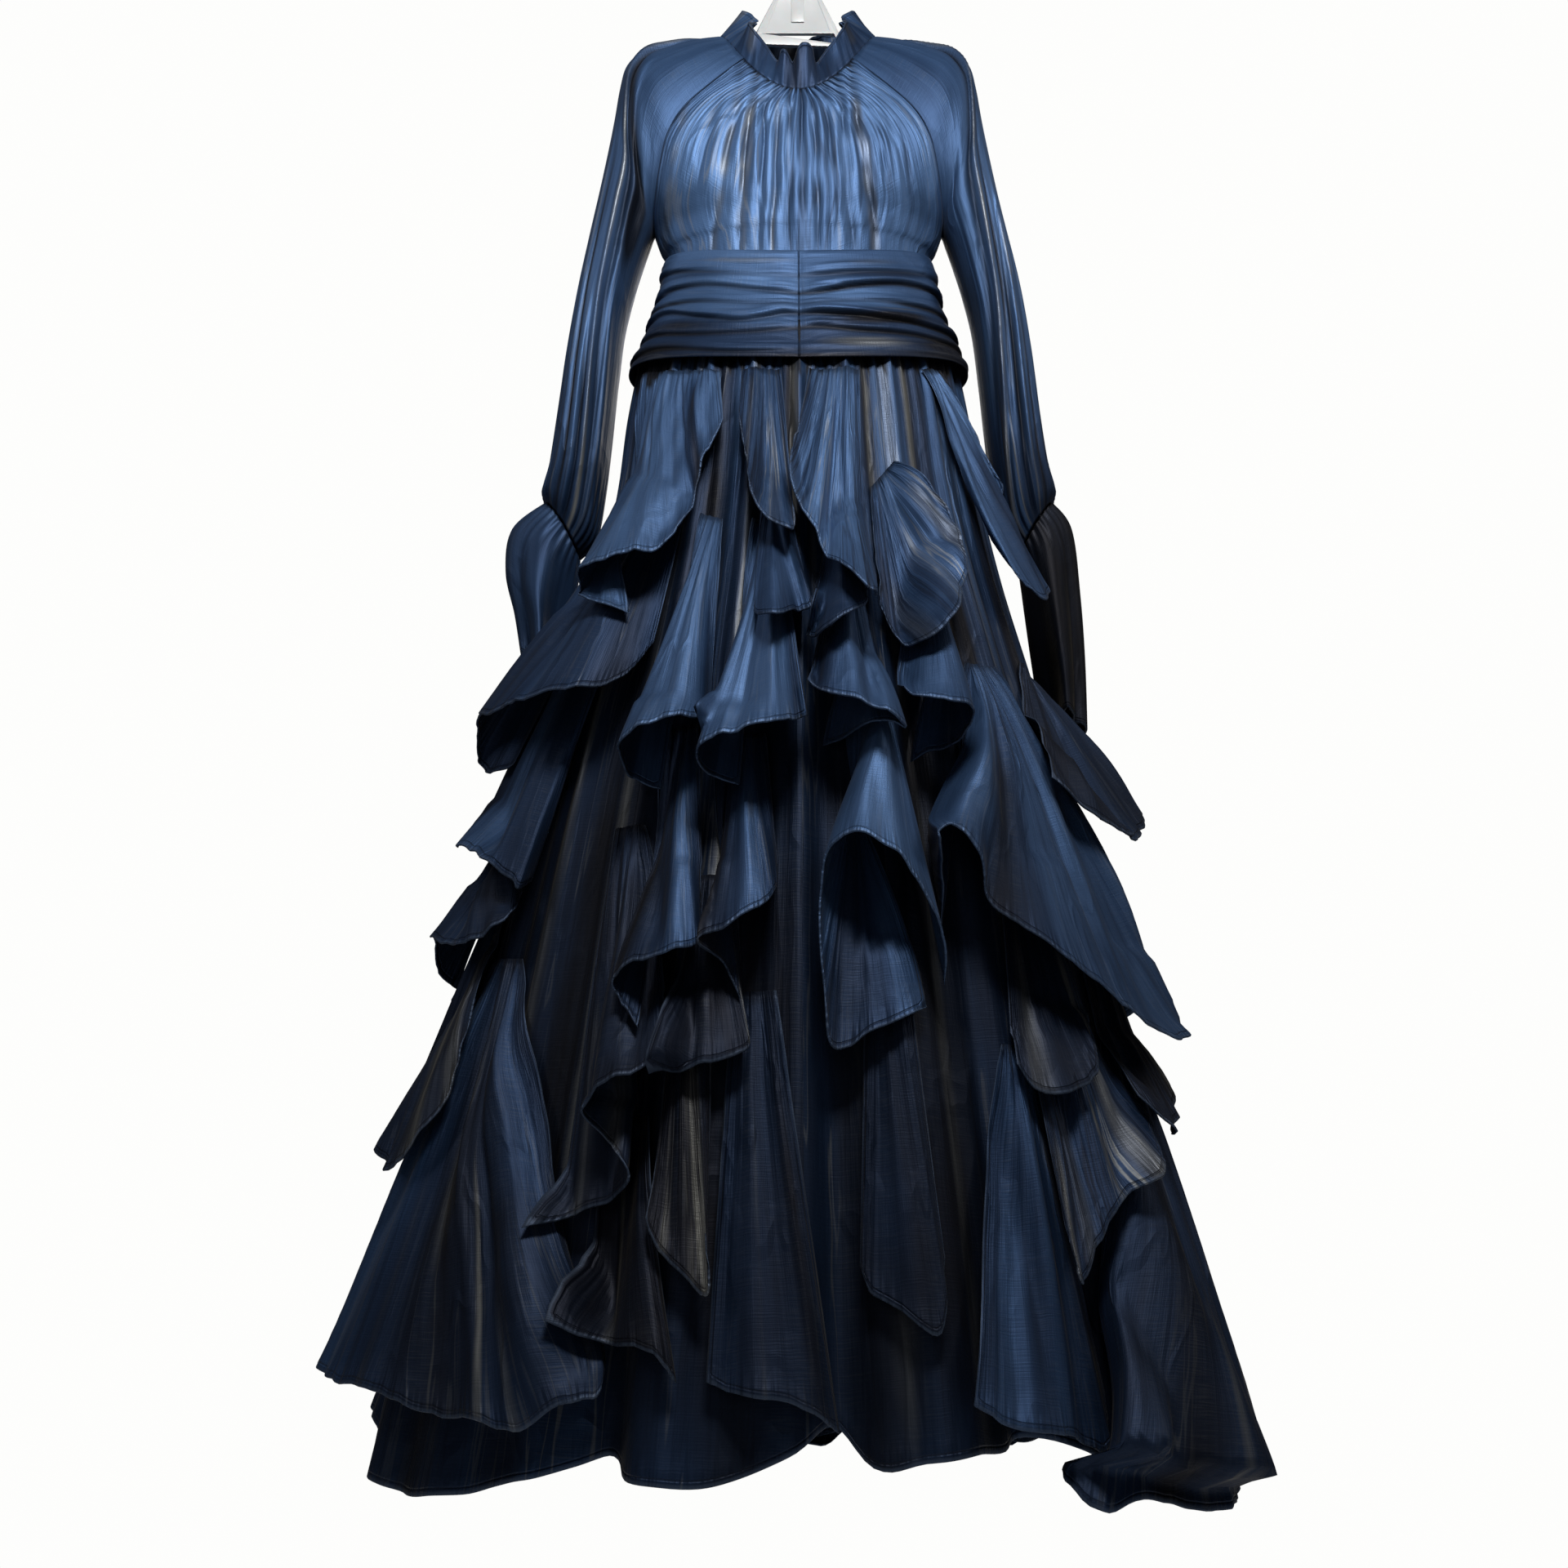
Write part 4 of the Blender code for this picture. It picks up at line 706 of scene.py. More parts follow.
def makeBodice(name, front):
    look = bodiceLook
    columns = look["columns"] if front else look["backColumns"]
    facing = -1 if front else 1
    seamAngle = neckLook["frontSeam"] if front else neckLook["backSeam"]
    u = np.linspace(-1, 1, columns)
    seamRows, underarm = sleeveRows(17)
    edge = seamRows[:underarm, 0 if front else -1]
    rows = []
    for i in range(underarm):
        x, y, h = edge[i]
        if i == 0:
            halfTurn = seamAngle if front else 180 - seamAngle
            rows.append(neckPoint(u * halfTurn if front else 180 - u * halfTurn))
            continue
        fade = 1 - i / underarm
        depth = np.interp(h, (1.28, 1.34, 1.45, 1.56), (0.0700, 0.0715, 0.068, 0.060))
        centreH = h - (0.043 if front else 0.0) * fade**1.5
        bow = np.cos(math.pi * u / 2)
        rows.append(np.stack([
            x * np.sin(math.pi * u / 2), y + (facing * depth - y) * bow, h + (centreH - h) * bow,
        ], axis=-1))
    for h, halfWidth, frontDepth, backDepth in bodiceForm:
        depth = frontDepth if front else backDepth
        turn = math.pi * u / 2
        level = np.full(columns, h)
        rows.append(np.stack([halfWidth * np.sin(turn), facing * depth * np.cos(turn), level], axis=-1))
    counts = [8, 7, 7, 6, 6, 5, 4, 5, 5, 8, 8]
    grid = moreRows(rows, counts[:len(rows) - 1])
    total = len(grid)
    v = np.linspace(0, 1, total)[:, None]
    height = grid[:, :, 2].mean(axis=1, keepdims=True)
    lift = np.zeros((total, columns))
    across = 1000 * grid[:, :, 0]
    down = np.clip((1.437 - grid[:, :, 2]) / 0.187, 0, 1)
    if front:
        fromNeck = metres(grid)
        waver = 0.8 * np.sin(14 * down + across / 9)
        for top, bottom, depth, width in look["folds"]:
            at = top + (bottom - top) * down**0.8 + waver + 0.9 * np.sin(7 * down + top)
            strength = (0.35 + 0.65 * softStep(down, 0.02, 0.30)) * (1 - 0.40 * down)
            strength = strength * (0.60 + 0.65 * wander(int(150 + top), 5, down))
            lift += 0.001 * depth * strength * hill(across, at, width * (0.75 + 0.35 * down))
        lift += fineFolds(31, 70, (u[None, :] + 1) / 2, down, 0.05, (0.0035, 0.014), 0.0015)
        gather = np.exp(-fromNeck / 0.026) * np.clip(1.25 - np.abs(u[None, :]), 0, 1)
        turns = look["gathers"] * math.pi
        lift += 0.0022 * gather * np.cos(turns * u + 2.0 * np.sin(6 * u))[None, :]
        lift += 0.0010 * np.exp(-fromNeck / 0.05) * np.cos(1.6 * turns * u + 1.0)[None, :]
        sashLine = sashTop - sashDip * np.cos(math.pi * u / 2) ** 2
        lift *= np.interp(grid[:, :, 2] - sashLine, (-0.010, 0.0, 0.022), (0.10, 0.30, 1.0))
        lift *= 1 - 0.7 * np.exp(-fromNeck / 0.0015)
    else:
        lift += 0.0012 * hill(np.abs(u[None, :]), 0.5, 0.12) * softStep(v, 0.2, 0.6) * (height > 1.25)
    grid[:, :, 1] += facing * lift
    inward = np.interp(grid[:, 0, 2], (1.25, 1.285, 1.30, 1.35), (0, 0.0022, 0.0022, seam))
    grid[:, 0, 0] += inward
    grid[:, -1, 0] -= inward
    grid[:, 0, 1] += facing * seam
    grid[:, -1, 1] += facing * seam
    grid[0, :, 2] -= seam
    # painted sheen highlights along the listed folds
    shine = np.zeros((total, columns))
    if front:
        for top, bottom, width, strength in look["shine"]:
            at = top + (bottom - top) * down**0.8 + 0.8 * np.sin(14 * down + across / 9)
            patchy = 0.55 + 0.5 * wander(int(130 + top), 9, down)
            shine += strength * patchy * hill(across, at, width) * softStep(v, 0.02, 0.2)
    uv = np.stack([np.broadcast_to(u[None, :] * 0.20, (total, columns)), metres(grid)], axis=-1)
    gap = (1 - np.abs(u[None, :])) * 0.16 + np.zeros((total, 1))
    fromNeck = np.broadcast_to(metres(grid), (total, columns))
    gap = np.where((gap < 0.0022) & (height > 1.29), 0.0045, 0.05)
    crush = 0.36 * (1 - 0.5 * np.abs(u[None, :])) + np.zeros((total, 1)) if front else 0.3
    # painted shade: dark at the neck seam and in the grooves of the folds, most near the neck
    pocketShade = 0.9 * np.exp(-(fromNeck / 0.0032) ** 2)
    if front:
        pocketShade = pocketShade + 0.85 * np.clip(-lift / 0.0020, 0, 1) * (0.30 + 0.70 * np.exp(-fromNeck / 0.03))
    marks = {
        "shine": np.clip(shine, 0, 1), "hem": gap, "crush": crush, "tint": np.clip(pocketShade, 0, 0.92),
        # painted light and shade: the front darker towards its sides
        "tone": (0.84 - 0.20 * u[None, :] ** 4) if front else 0.78,
    }
    flat = flatSize(grid, look["flatWidth"])
    return clothSheet(name, grid, uv, marks, flip=not front)


collarLook = {
    "columns": 321, "rows": 22, "height": 0.050, "flatWidth": 0.52,
    # degrees round the neck, width in degrees, mm outwards and mm upwards at the top edge
    "waves": (
        (-60, 9, -3, 2), (-38, 7, 4, 1), (-22, 5, -6, -3), (-12, 4, 5, 0), (-4, 3.5, -9, -15),
        (6, 6, 6, 2), (18, 5, -7, -5), (30, 6, 5, 1), (46, 7, -4, 0), (62, 9, 3, 2),
    ),
}


def makeCollar():
    look = collarLook
    angle = np.linspace(0, 360, look["columns"])
    turn = np.radians(angle)
    signed = np.where(angle > 180, angle - 360, angle)
    grid = []
    for share in np.linspace(0, 1, look["rows"]):
        lean = 1 - share * (0.30 * np.abs(np.sin(turn)) ** 1.5 + 0.06)
        wave = 0.0085 * share**1.2 * np.cos(8 * turn)
        wave = wave + 0.0010 * share * np.cos(31 * turn + 1.0) + 0.0006 * np.cos(64 * turn) * (1 - share)
        crown = 0.004 * share * np.cos(8 * turn)
        for place, width, out, up in look["waves"]:
            wave = wave + 0.001 * out * share**1.3 * hill(signed, place, width)
            crown = crown + 0.001 * up * share**1.6 * hill(signed, place, width)
        base = neckPoint(signed)
        away = np.stack([np.sin(turn), -np.cos(turn)], axis=-1)
        ring = base.copy()
        ring[:, :2] = base[:, :2] * lean[:, None] + away * wave[:, None]
        ring[:, 2] += seam + share * (look["height"] - 0.014 * np.sin(turn) ** 2) + crown
        grid.append(ring)
    # the seam allowance, turned down inside the neck
    allowance = grid[0].copy()
    allowance[:, :2] *= 0.975
    allowance[:, 2] -= 0.0045
    grid = np.array([allowance] + grid)[::-1]
    rows, columns = grid.shape[:2]
    length = metres(grid)
    uv = np.stack([np.broadcast_to(angle[None, :] / 360 * 0.5, (rows, columns)), length], axis=-1)
    # painted sheen highlights on the crests of the waves, fading down the collar
    fade = softStep(np.linspace(1, 0, rows), 0.1, 0.5)[:, None]
    shine = 0.6 * np.clip(np.sin(8 * turn + 0.9), 0, 1)[None, :] ** 4 * fade
    fromSeam = length[-1] - length
    hem = np.minimum(length, np.where(fromSeam < 0.0025, 0.0045, 0.05))
    # painted shade: darker round the back of the collar and in the fold at the centre front
    innerShade = softStep(np.abs(signed), 75, 110)[None, :] * 0.5 + 0.5 * hill(signed, -3, 5)[None, :]
    shine = shine * 0.7 * (1 - hill(signed, 0, 22))[None, :]
    marks = {"shine": shine, "hem": hem, "crush": 0.25, "tint": innerShade + np.zeros((rows, 1)), "tone": 0.46}
    flat = flatSize(grid, look["flatWidth"])
    return clothSheet("collar", grid, uv, marks, 0)


# each line runs round the waist: its share of the sash's height at every angle below, depth in mm, and
# width above it
sashLook = {
    "columns": 301, "rows": 80, "flatWidth": 1.0, "bottom": 1.108, "bottomDip": 0.034,
    # share of the height, half width, half depth
    "form": (
        (0.0, 0.1473, 0.0673), (0.25, 0.152, 0.0720), (0.5, 0.158, 0.078), (0.75, 0.170, 0.087),
        (1.0, 0.184, 0.099),
    ),
    "angles": (-180, -130, -90, -60, -40, -20, -4, 4, 20, 40, 60, 90, 130, 180),
    "lines": (
        ((0.20, 0.18, 0.14, 0.15, 0.17, 0.19, 0.20, 0.20, 0.19, 0.18, 0.18, 0.18, 0.20, 0.20), 2.8, 0.11),
        ((0.40, 0.38, 0.38, 0.31, 0.29, 0.33, 0.355, 0.36, 0.30, 0.27, 0.29, 0.36, 0.38, 0.40), 3.2, 0.07),
        ((0.50, 0.52, 0.50, 0.46, 0.44, 0.45, 0.455, 0.455, 0.44, 0.45, 0.49, 0.55, 0.52, 0.50), 2.2, 0.06),
        ((0.62, 0.63, 0.60, 0.53, 0.58, 0.62, 0.55, 0.55, 0.57, 0.63, 0.69, 0.74, 0.66, 0.62), 5.6, 0.08),
        ((0.80, 0.78, 0.76, 0.74, 0.76, 0.74, 0.70, 0.68, 0.70, 0.74, 0.80, 0.84, 0.80, 0.80), 2.6, 0.09),
        ((0.92, 0.93, 0.90, 0.88, 0.90, 0.92, 0.91, 0.90, 0.91, 0.92, 0.94, 0.94, 0.92, 0.92), 2.2, 0.06),
    ),
    # painted light and shade: angle, width in degrees, share of the height, spread, change of tone
    "lightAndShadePatches": (
        (-18, 16, 0.28, 0.05, 0.35), (18, 20, 0.40, 0.035, 0.35), (25, 22, 0.50, 0.035, 0.25),
        (34, 18, 0.64, 0.05, -0.85), (-62, 22, 0.93, 0.07, -0.60), (62, 22, 0.90, 0.08, -0.60),
        (-48, 20, 0.70, 0.06, -0.45), (-50, 24, 0.24, 0.03, -0.35), (40, 20, 0.24, 0.03, -0.35),
        (0, 60, 0.99, 0.03, -0.50), (85, 20, 0.50, 0.4, -0.35), (-85, 20, 0.50, 0.4, -0.25),
    ),
    # the same places, then strength of the painted sheen highlights
    "shine": (
        (24, 13, 0.86, 0.045, 0.9), (-20, 20, 0.10, 0.02, 0.5), (32, 14, 0.12, 0.03, 0.4),
        (40, 14, 0.555, 0.012, 0.6),
    ),
}


def makeSash():
    look = sashLook
    angle = np.linspace(-180, 180, look["columns"])
    turn = np.radians(angle)
    front = np.clip(np.cos(turn), 0, 1)
    top = sashTop - sashDip * front**2
    bottom = look["bottom"] - look["bottomDip"] * front**2
    here = np.linspace(0, 1, look["rows"])[:, None] + np.zeros((1, look["columns"]))
    form = smoothAlong(look["form"], here)
    out = np.full(here.shape, 0.0018)
    tuckShade = np.zeros(here.shape)
    for number, (line, depth, above) in enumerate(look["lines"]):
        level = smoothAlong(np.column_stack([look["angles"], line]), angle)[:, 0]
        level = level + 0.010 * wander(200 + number, 14, (angle + 180) / 360)
        strength = 0.70 + 0.45 * wander(210 + number, 9, (angle + 180) / 360)
        gap = here - level
        ridge = np.where(gap < 0, hill(gap, 0, above), hill(gap, 0, 0.020)) * strength
        out += 0.0014 * depth * ridge
        out += 0.0012 * hill(gap, -0.045, 0.014) * np.sin(turn * 5 + number)
        out -= 0.0010 * hill(gap, 0.040, 0.014) * strength
        # painted shadow just below each pleat line
        tuckShade += 1.0 * hill(gap, 0.034, 0.022) * strength
    out += 0.0007 * wander(230, 60, here) * np.cos(3 * turn + 8 * here)
    out *= 1 - 0.55 * np.exp(-((angle / 5.0) ** 2))
    out = out * softStep(here, -0.04, 0.04) * (1 - 0.6 * softStep(here, 0.97, 1.0))
    out = out - 0.0010 * np.exp(-((angle / 0.8) ** 2))
    out = np.clip(out, 0.0002, 0.0100)
    out[:, -1] = out[:, 0]
    grid = np.stack([
        (form[..., 0] + out) * np.sin(turn), -(form[..., 1] + out) * np.cos(turn),
        top + (bottom - top) * here,
    ], axis=-1)
    grid[:, -1] = grid[:, 0]
    length = metres(grid)
    # the cloth's grain runs round the waist, so the long grain goes across
    uv = np.stack([length, np.broadcast_to(angle[None, :] / 360 * 1.0, here.shape)], axis=-1)
    # painted light and shade: the lower half darker, with lit and shaded patches
    tone = 0.70 - 0.30 * softStep(here, 0.45, 0.85)
    for place, width, level, spread, change in look["lightAndShadePatches"]:
        tone = tone + change * hill(angle, place, width) * hill(here, level, spread)
    # painted sheen highlights
    shine = np.zeros(here.shape)
    for place, width, level, spread, strength in look["shine"]:
        shine = shine + strength * hill(angle, place, width) * hill(here, level, spread)
    marks = {
        "shine": np.clip(shine, 0, 1), "crush": 0.05, "tone": tone,
        "hem": np.where(np.abs(angle[None, :]) < 0.40, 0.0045, 0.05) + np.zeros(here.shape),
        "tint": np.clip(tuckShade, 0, 0.88),
    }
    flat = flatSize(grid, look["flatWidth"])
    return clothSheet("sash", grid, uv, marks, 0)


# Skirt and petals: each layer is laid over what already hangs beneath it

def skirtPoint(angle, height, stand):
    form = smoothAlong(skirtForm, height)
    turn = np.radians(angle)
    across = (form[..., 0] + stand) * np.sin(turn)
    return np.stack([across, -(form[..., 1] + stand) * np.cos(turn), height], axis=-1)


def skirtPlace(points):
    form = smoothAlong(skirtForm, points[..., 2])
    stand = np.zeros(points.shape[:-1])
    for _ in range(6):
        turn = np.arctan2(points[..., 0] / (form[..., 0] + stand), -points[..., 1] / (form[..., 1] + stand))
        reach = np.hypot((form[..., 0] + stand) * np.sin(turn), (form[..., 1] + stand) * np.cos(turn))
        stand = stand + np.hypot(points[..., 0], points[..., 1]) - reach
    return np.degrees(turn) % 360, points[..., 2], stand


# painted shade: dark between the tops of the gathers, under the sash
def shadeUnderSash(points, spacing):
    angle = np.degrees(np.arctan2(points[..., 0], -points[..., 1]))
    place = (angle + 180) / 360
    line = 1.057 + 0.014 * (1 - np.cos(np.radians(angle))) + 0.009 * wander(250, 40, place)
    peak = np.abs(np.sin(angle * math.pi / spacing + 1.2 * np.sin(angle * 0.11)))
    return softStep(points[..., 2], line + 0.026 * peak, line + 0.026 * peak + 0.004)


class Layers:
    angles = 720
    heights = 260
    low = -0.12
    step = 0.005

    def __init__(self):
        self.reach = np.zeros((self.angles, self.heights))

    def add(self, grid):
        turn, level, reach = skirtPlace(grid)
        for smooth in range(3):
            i = np.floor(turn / 360 * self.angles).astype(int) % self.angles
            j = np.clip(np.round((level - self.low) / self.step).astype(int), 0, self.heights - 1)
            np.maximum.at(self.reach, (i.ravel(), j.ravel()), reach.ravel())
            if smooth < 2:
                grid = halfway(grid, smooth)
                turn, level, reach = skirtPlace(grid)

    def cover(self, turnCells, heightCells, blur):
        wide = self.reach
        for shift in range(1, turnCells + 1):
            beside = np.maximum(np.roll(self.reach, shift, 0), np.roll(self.reach, -shift, 0))
            wide = np.maximum(wide, beside)
        tall = wide.copy()
        for shift in range(1, heightCells + 1):
            tall[:, shift:] = np.maximum(tall[:, shift:], wide[:, :-shift])
            tall[:, :-shift] = np.maximum(tall[:, :-shift], wide[:, shift:])
        even = np.zeros_like(tall)
        for shift in range(-blur, blur + 1):
            even += np.roll(tall, shift, 0) / (2 * blur + 1)
        return even

    def read(self, cover, angle, height):
        column = np.asarray(angle) / 360 * self.angles - 0.5
        row = np.clip((np.asarray(height) - self.low) / self.step, 0, self.heights - 1.001)
        i, j = np.floor(column).astype(int), np.floor(row).astype(int)
        a, b = column - i, row - j
        i, k = i % self.angles, (i + 1) % self.angles
        return (
            cover[i, j] * (1 - a) * (1 - b) + cover[k, j] * a * (1 - b)
            + cover[i, j + 1] * (1 - a) * b + cover[k, j + 1] * a * b
        )


# a grid with a row or column added halfway between each two
def halfway(grid, axis):
    if axis:
        grid = grid.transpose(1, 0, 2)
    out = np.empty((2 * len(grid) - 1,) + grid.shape[1:])
    out[::2] = grid
    out[1::2] = (grid[:-1] + grid[1:]) / 2
    return out.transpose(1, 0, 2) if axis else out


def hemLine(points, step):
    points = np.array(points, float)
    form = smoothAlong(skirtForm, points[:, 1])
    around = (form[:-1, 0] + points[:-1, 2]) * np.radians(np.diff(points[:, 0]))
    length = np.sqrt(around**2 + np.diff(points[:, 1]) ** 2 + np.diff(points[:, 2]) ** 2)
    key = np.concatenate([[0], np.cumsum(length)])
    count = max(8, int(key[-1] / step))
    keys = np.linspace(0, key[-1], count)
    return smoothAlong(np.column_stack([key, points]), keys).T


def unfolded(hemAngle, hemHeight):
    spread = hemAngle.copy()
    low, high = hemAngle.argmin(), hemAngle.argmax()
    first = low if hemHeight[0] - hemHeight[low] > 0.06 else 0
    last = high if hemHeight[-1] - hemHeight[high] > 0.06 else len(spread) - 1
    spread[first:last + 1] = np.linspace(hemAngle[low], hemAngle[high], last + 1 - first)
    return spread


petalCut = {
    "hemStep": 0.0058,
    "rowStep": 0.0072,
    "lapStart": 0.16,
    "lap": 0.85,
    "roll": 0.0008,
    "flutter": 0.0026,
}


def petalGrid(layers, sewn, hem, creases, seed, coarse=1.0):
    cut = petalCut
    hemAngle, hemHeight, hemStand = hemLine(hem, cut["hemStep"] * coarse)
    count = len(hemAngle)
    along = np.linspace(0, 1, count)
    drop = max(0.05, abs(np.mean(hemHeight) - (sewn[1] + sewn[3]) / 2))
    rowCount = int(np.clip(drop / (cut["rowStep"] * coarse), 14, 64))
    fall = np.linspace(0, 1, rowCount)[:, None]
    sewnAngle = sewn[0] + (sewn[2] - sewn[0]) * along
    sewnHeight = sewn[1] + (sewn[3] - sewn[1]) * along
    spread = unfolded(hemAngle, hemHeight)
    lap = softStep(fall, cut["lapStart"] - 0.1, 1.15) / softStep(1.0, cut["lapStart"] - 0.1, 1.15)
    angle = sewnAngle + (spread - sewnAngle) * fall**0.9 + (hemAngle - spread) * lap * cut["lap"]
    inward = softStep(np.minimum(along, 1 - along), 0.0, 0.16)
    ragged = 0.0022 * wander(seed + 5, int(count / 5) + 2, along)
    ragged = (ragged + 0.0014 * wander(seed + 6, int(count / 2.2) + 2, along)) * inward
    height = sewnHeight + (hemHeight + ragged - sewnHeight) * fall
    rest = layers.read(layers.cover(2, 1, 2), angle, height) + layerSpace
    shareLeft = np.clip(1 - rest[-1] / hemStand.max(), 0.4, 1)
    rise = np.clip(hemStand, 0, None) * shareLeft
    stand = rest + rise * (0.94 * fall**0.85 + 0.06 * fall**6)

    # creases that run from the sewn line to the hem, then small gathers at the top and a flutter at the hem
    lift = np.zeros_like(stand)
    for atHem, atTop, depth, width in creases:
        at = atTop + (atHem - atTop) * fall**0.9
        form = hill(along[None, :], at, width * (0.45 + 0.55 * fall))
        lift += 0.001 * depth * form * softStep(fall, -0.05, 0.35)
    random = np.random.default_rng(seed)
    hemLength = count * cut["hemStep"] * coarse
    for _ in range(int(4 + hemLength / 0.05)):
        at = random.uniform(0.02, 0.98)
        slant = random.uniform(-0.05, 0.05)
        start = random.uniform(0.0, 0.55)
        depth = random.uniform(-1.7, 1.7)
        width = random.uniform(0.008, 0.018) * 0.30 / max(hemLength, 0.12)
        form = hill(along[None, :], at + slant * fall, width * (0.5 + 0.5 * fall))
        lift += 0.001 * depth * form * softStep(fall, start, start + 0.3)
    sewnLength = abs(sewn[2] - sewn[0]) * 0.0036
    gathers = max(3, sewnLength / 0.0085)
    ripple = np.cos(2 * math.pi * gathers * along + random.uniform(0, 6))
    lift += 0.0017 * (1 - softStep(fall, 0.02, 0.30)) * ripple
    flutter = wander(seed + 1, int(hemLength / 0.022) + 2, along)
    flutter = flutter + 0.5 * wander(seed + 2, int(hemLength / 0.011) + 2, along)
    lift += cut["flutter"] * fall**7 * flutter * inward
    stand = np.maximum(stand + lift, rest)
    beneath = layers.cover(1, 1, 0)
    for _ in range(3):
        points = skirtPoint(angle, height, stand)
        turn, level, here = skirtPlace(points)
        stand = stand + np.clip(layers.read(beneath, turn, level) + layerSpace * 0.6 - here, 0, None)
    grid = skirtPoint(angle, height, stand)
    layers.add(grid)
    return grid, along, hemLength, drop


def makePetal(layers, name, sewn, hem, look, seed, coarse=1.0):
    creases = look.get("creases", usualCreases)
    grid, along, hemLength, drop = petalGrid(layers, sewn, hem, creases, seed, coarse)
    grid = rolledHem(grid, petalCut["roll"], 0.05)
    rows, columns = grid.shape[:2]
    length = metres(grid)
    fromHem = np.clip(length[-6] - length, 0, None)
    fall = np.clip(length / np.maximum(length[-6], 1e-6), 0, 1)
    edge = np.minimum(along, 1 - along)[None, :] * hemLength * (0.25 + 0.75 * fall)
    uv = np.stack([np.broadcast_to(along[None, :] * hemLength, (rows, columns)), length], axis=-1)
    # painted sheen highlights
    shine = np.zeros((rows, columns))
    for place, width, strength, start in look.get("shine", ()):
        shine += strength * hill(along[None, :], place, width) * softStep(fall, start - 0.15, start + 0.15)
    # painted light and shade: each petal's tone with lit and shaded bands
    tone = np.full((rows, columns), look["tone"])
    for place, width, change, start in look.get("lightAndShadeBands", ()):
        tone += change * hill(along[None, :], place, width) * softStep(fall, start - 0.2, start + 0.25)
    # painted shade along the sewn line and under the sash
    tuckShade = 0.55 * (1 - softStep(fall, 0.0, 0.05)) + 0.95 * shadeUnderSash(grid, 8.5)
    marks = {
        "shine": np.clip(shine, 0, 1), "hem": np.minimum(fromHem, edge), "crush": look.get("crush", 0.12),
        "tint": np.clip(tuckShade, 0, 0.96), "tone": tone,
    }
    area = gridArea(grid)
    width = hemLength
    drop = float(np.clip(drop, area / width, area / width / 0.4))
    area = min(area, width * drop)
    return clothSheet(name, grid, uv, marks)


skirtLook = {
    "folds": 22, "columns": 401, "rows": 90, "hemRoll": 0.0008, "flatWidth": 2.6,
    # painted shade in the hollows between the gathers: degrees round, width in degrees, lowest height,
    # change of tone
    "shadedHollows": (
        (-26, 3.5, 0.80, -0.60), (-3, 2.2, 0.82, -0.60), (22, 2.6, 0.90, -0.65), (38, 3.0, 0.60, -0.45),
        (-44, 2.5, 0.70, -0.3), (44, 1.5, 0.40, -0.35), (66, 3.0, 0.50, -0.40), (-75, 4.0, 0.60, -0.35),
        (-12, 1.5, 0.70, -0.3), (14, 1.5, 0.70, -0.3),
    ),
    # degrees round, height and stand of the skirt's own hem: rounded lobes with a sharp step between them
    "hem": (
        (-90, 0.006, 0.004), (-80, -0.014, 0.022), (-68, -0.024, 0.036), (-55, -0.040, 0.034),
        (-42, -0.034, 0.024), (-30, -0.018, 0.010), (-25, -0.010, 0.002), (-21, -0.026, 0.030),
        (-15, -0.034, 0.042), (-8, -0.028, 0.042), (-1, -0.008, 0.026), (4, 0.012, 0.002),
        (8, -0.018, 0.026), (14, -0.016, 0.036), (20, -0.008, 0.034), (25, -0.008, 0.022),
        (29, 0.006, 0.002), (36, -0.006, 0.020), (50, -0.020, 0.034), (62, -0.014, 0.026),
        (74, 0.008, 0.006), (90, 0.004, 0.008), (108, 0.004, 0.026), (126, 0.032, 0.002),
        (144, 0.010, 0.036), (162, 0.037, 0.002), (180, 0.014, 0.038), (198, 0.038, 0.002),
        (216, 0.012, 0.038), (234, 0.034, 0.002), (252, 0.004, 0.034), (270, 0.006, 0.004),
    ),
    # height and tone from the waist to the hem: painted light and shade, darkest low on the skirt
    "tone": (
        (1.13, 0.72), (0.95, 0.66), (0.75, 0.36), (0.55, 0.24), (0.20, 0.20), (0.05, 0.36), (-0.06, 0.50),
    ),
    # painted sheen highlights: degrees round, width in degrees, strength, lowest height
    "shine": (
        (358.5, 1.6, 0.95, 0.80), (3.0, 1.0, 0.8, 0.80), (29.0, 1.6, 0.9, 0.70), (346.0, 1.2, 0.5, 0.3),
        (38.0, 1.5, 0.7, 0.3), (310.0, 1.5, 0.6, 0.2), (324.0, 1.2, 0.5, 0.2), (12.0, 1.6, 0.4, 0.0),
        (22.0, 1.2, 0.4, 0.0), (52.0, 1.6, 0.5, 0.5), (100.0, 2.0, 0.5, 0.0), (170.0, 2.0, 0.5, 0.0),
        (245.0, 2.0, 0.5, 0.0),
    ),
}


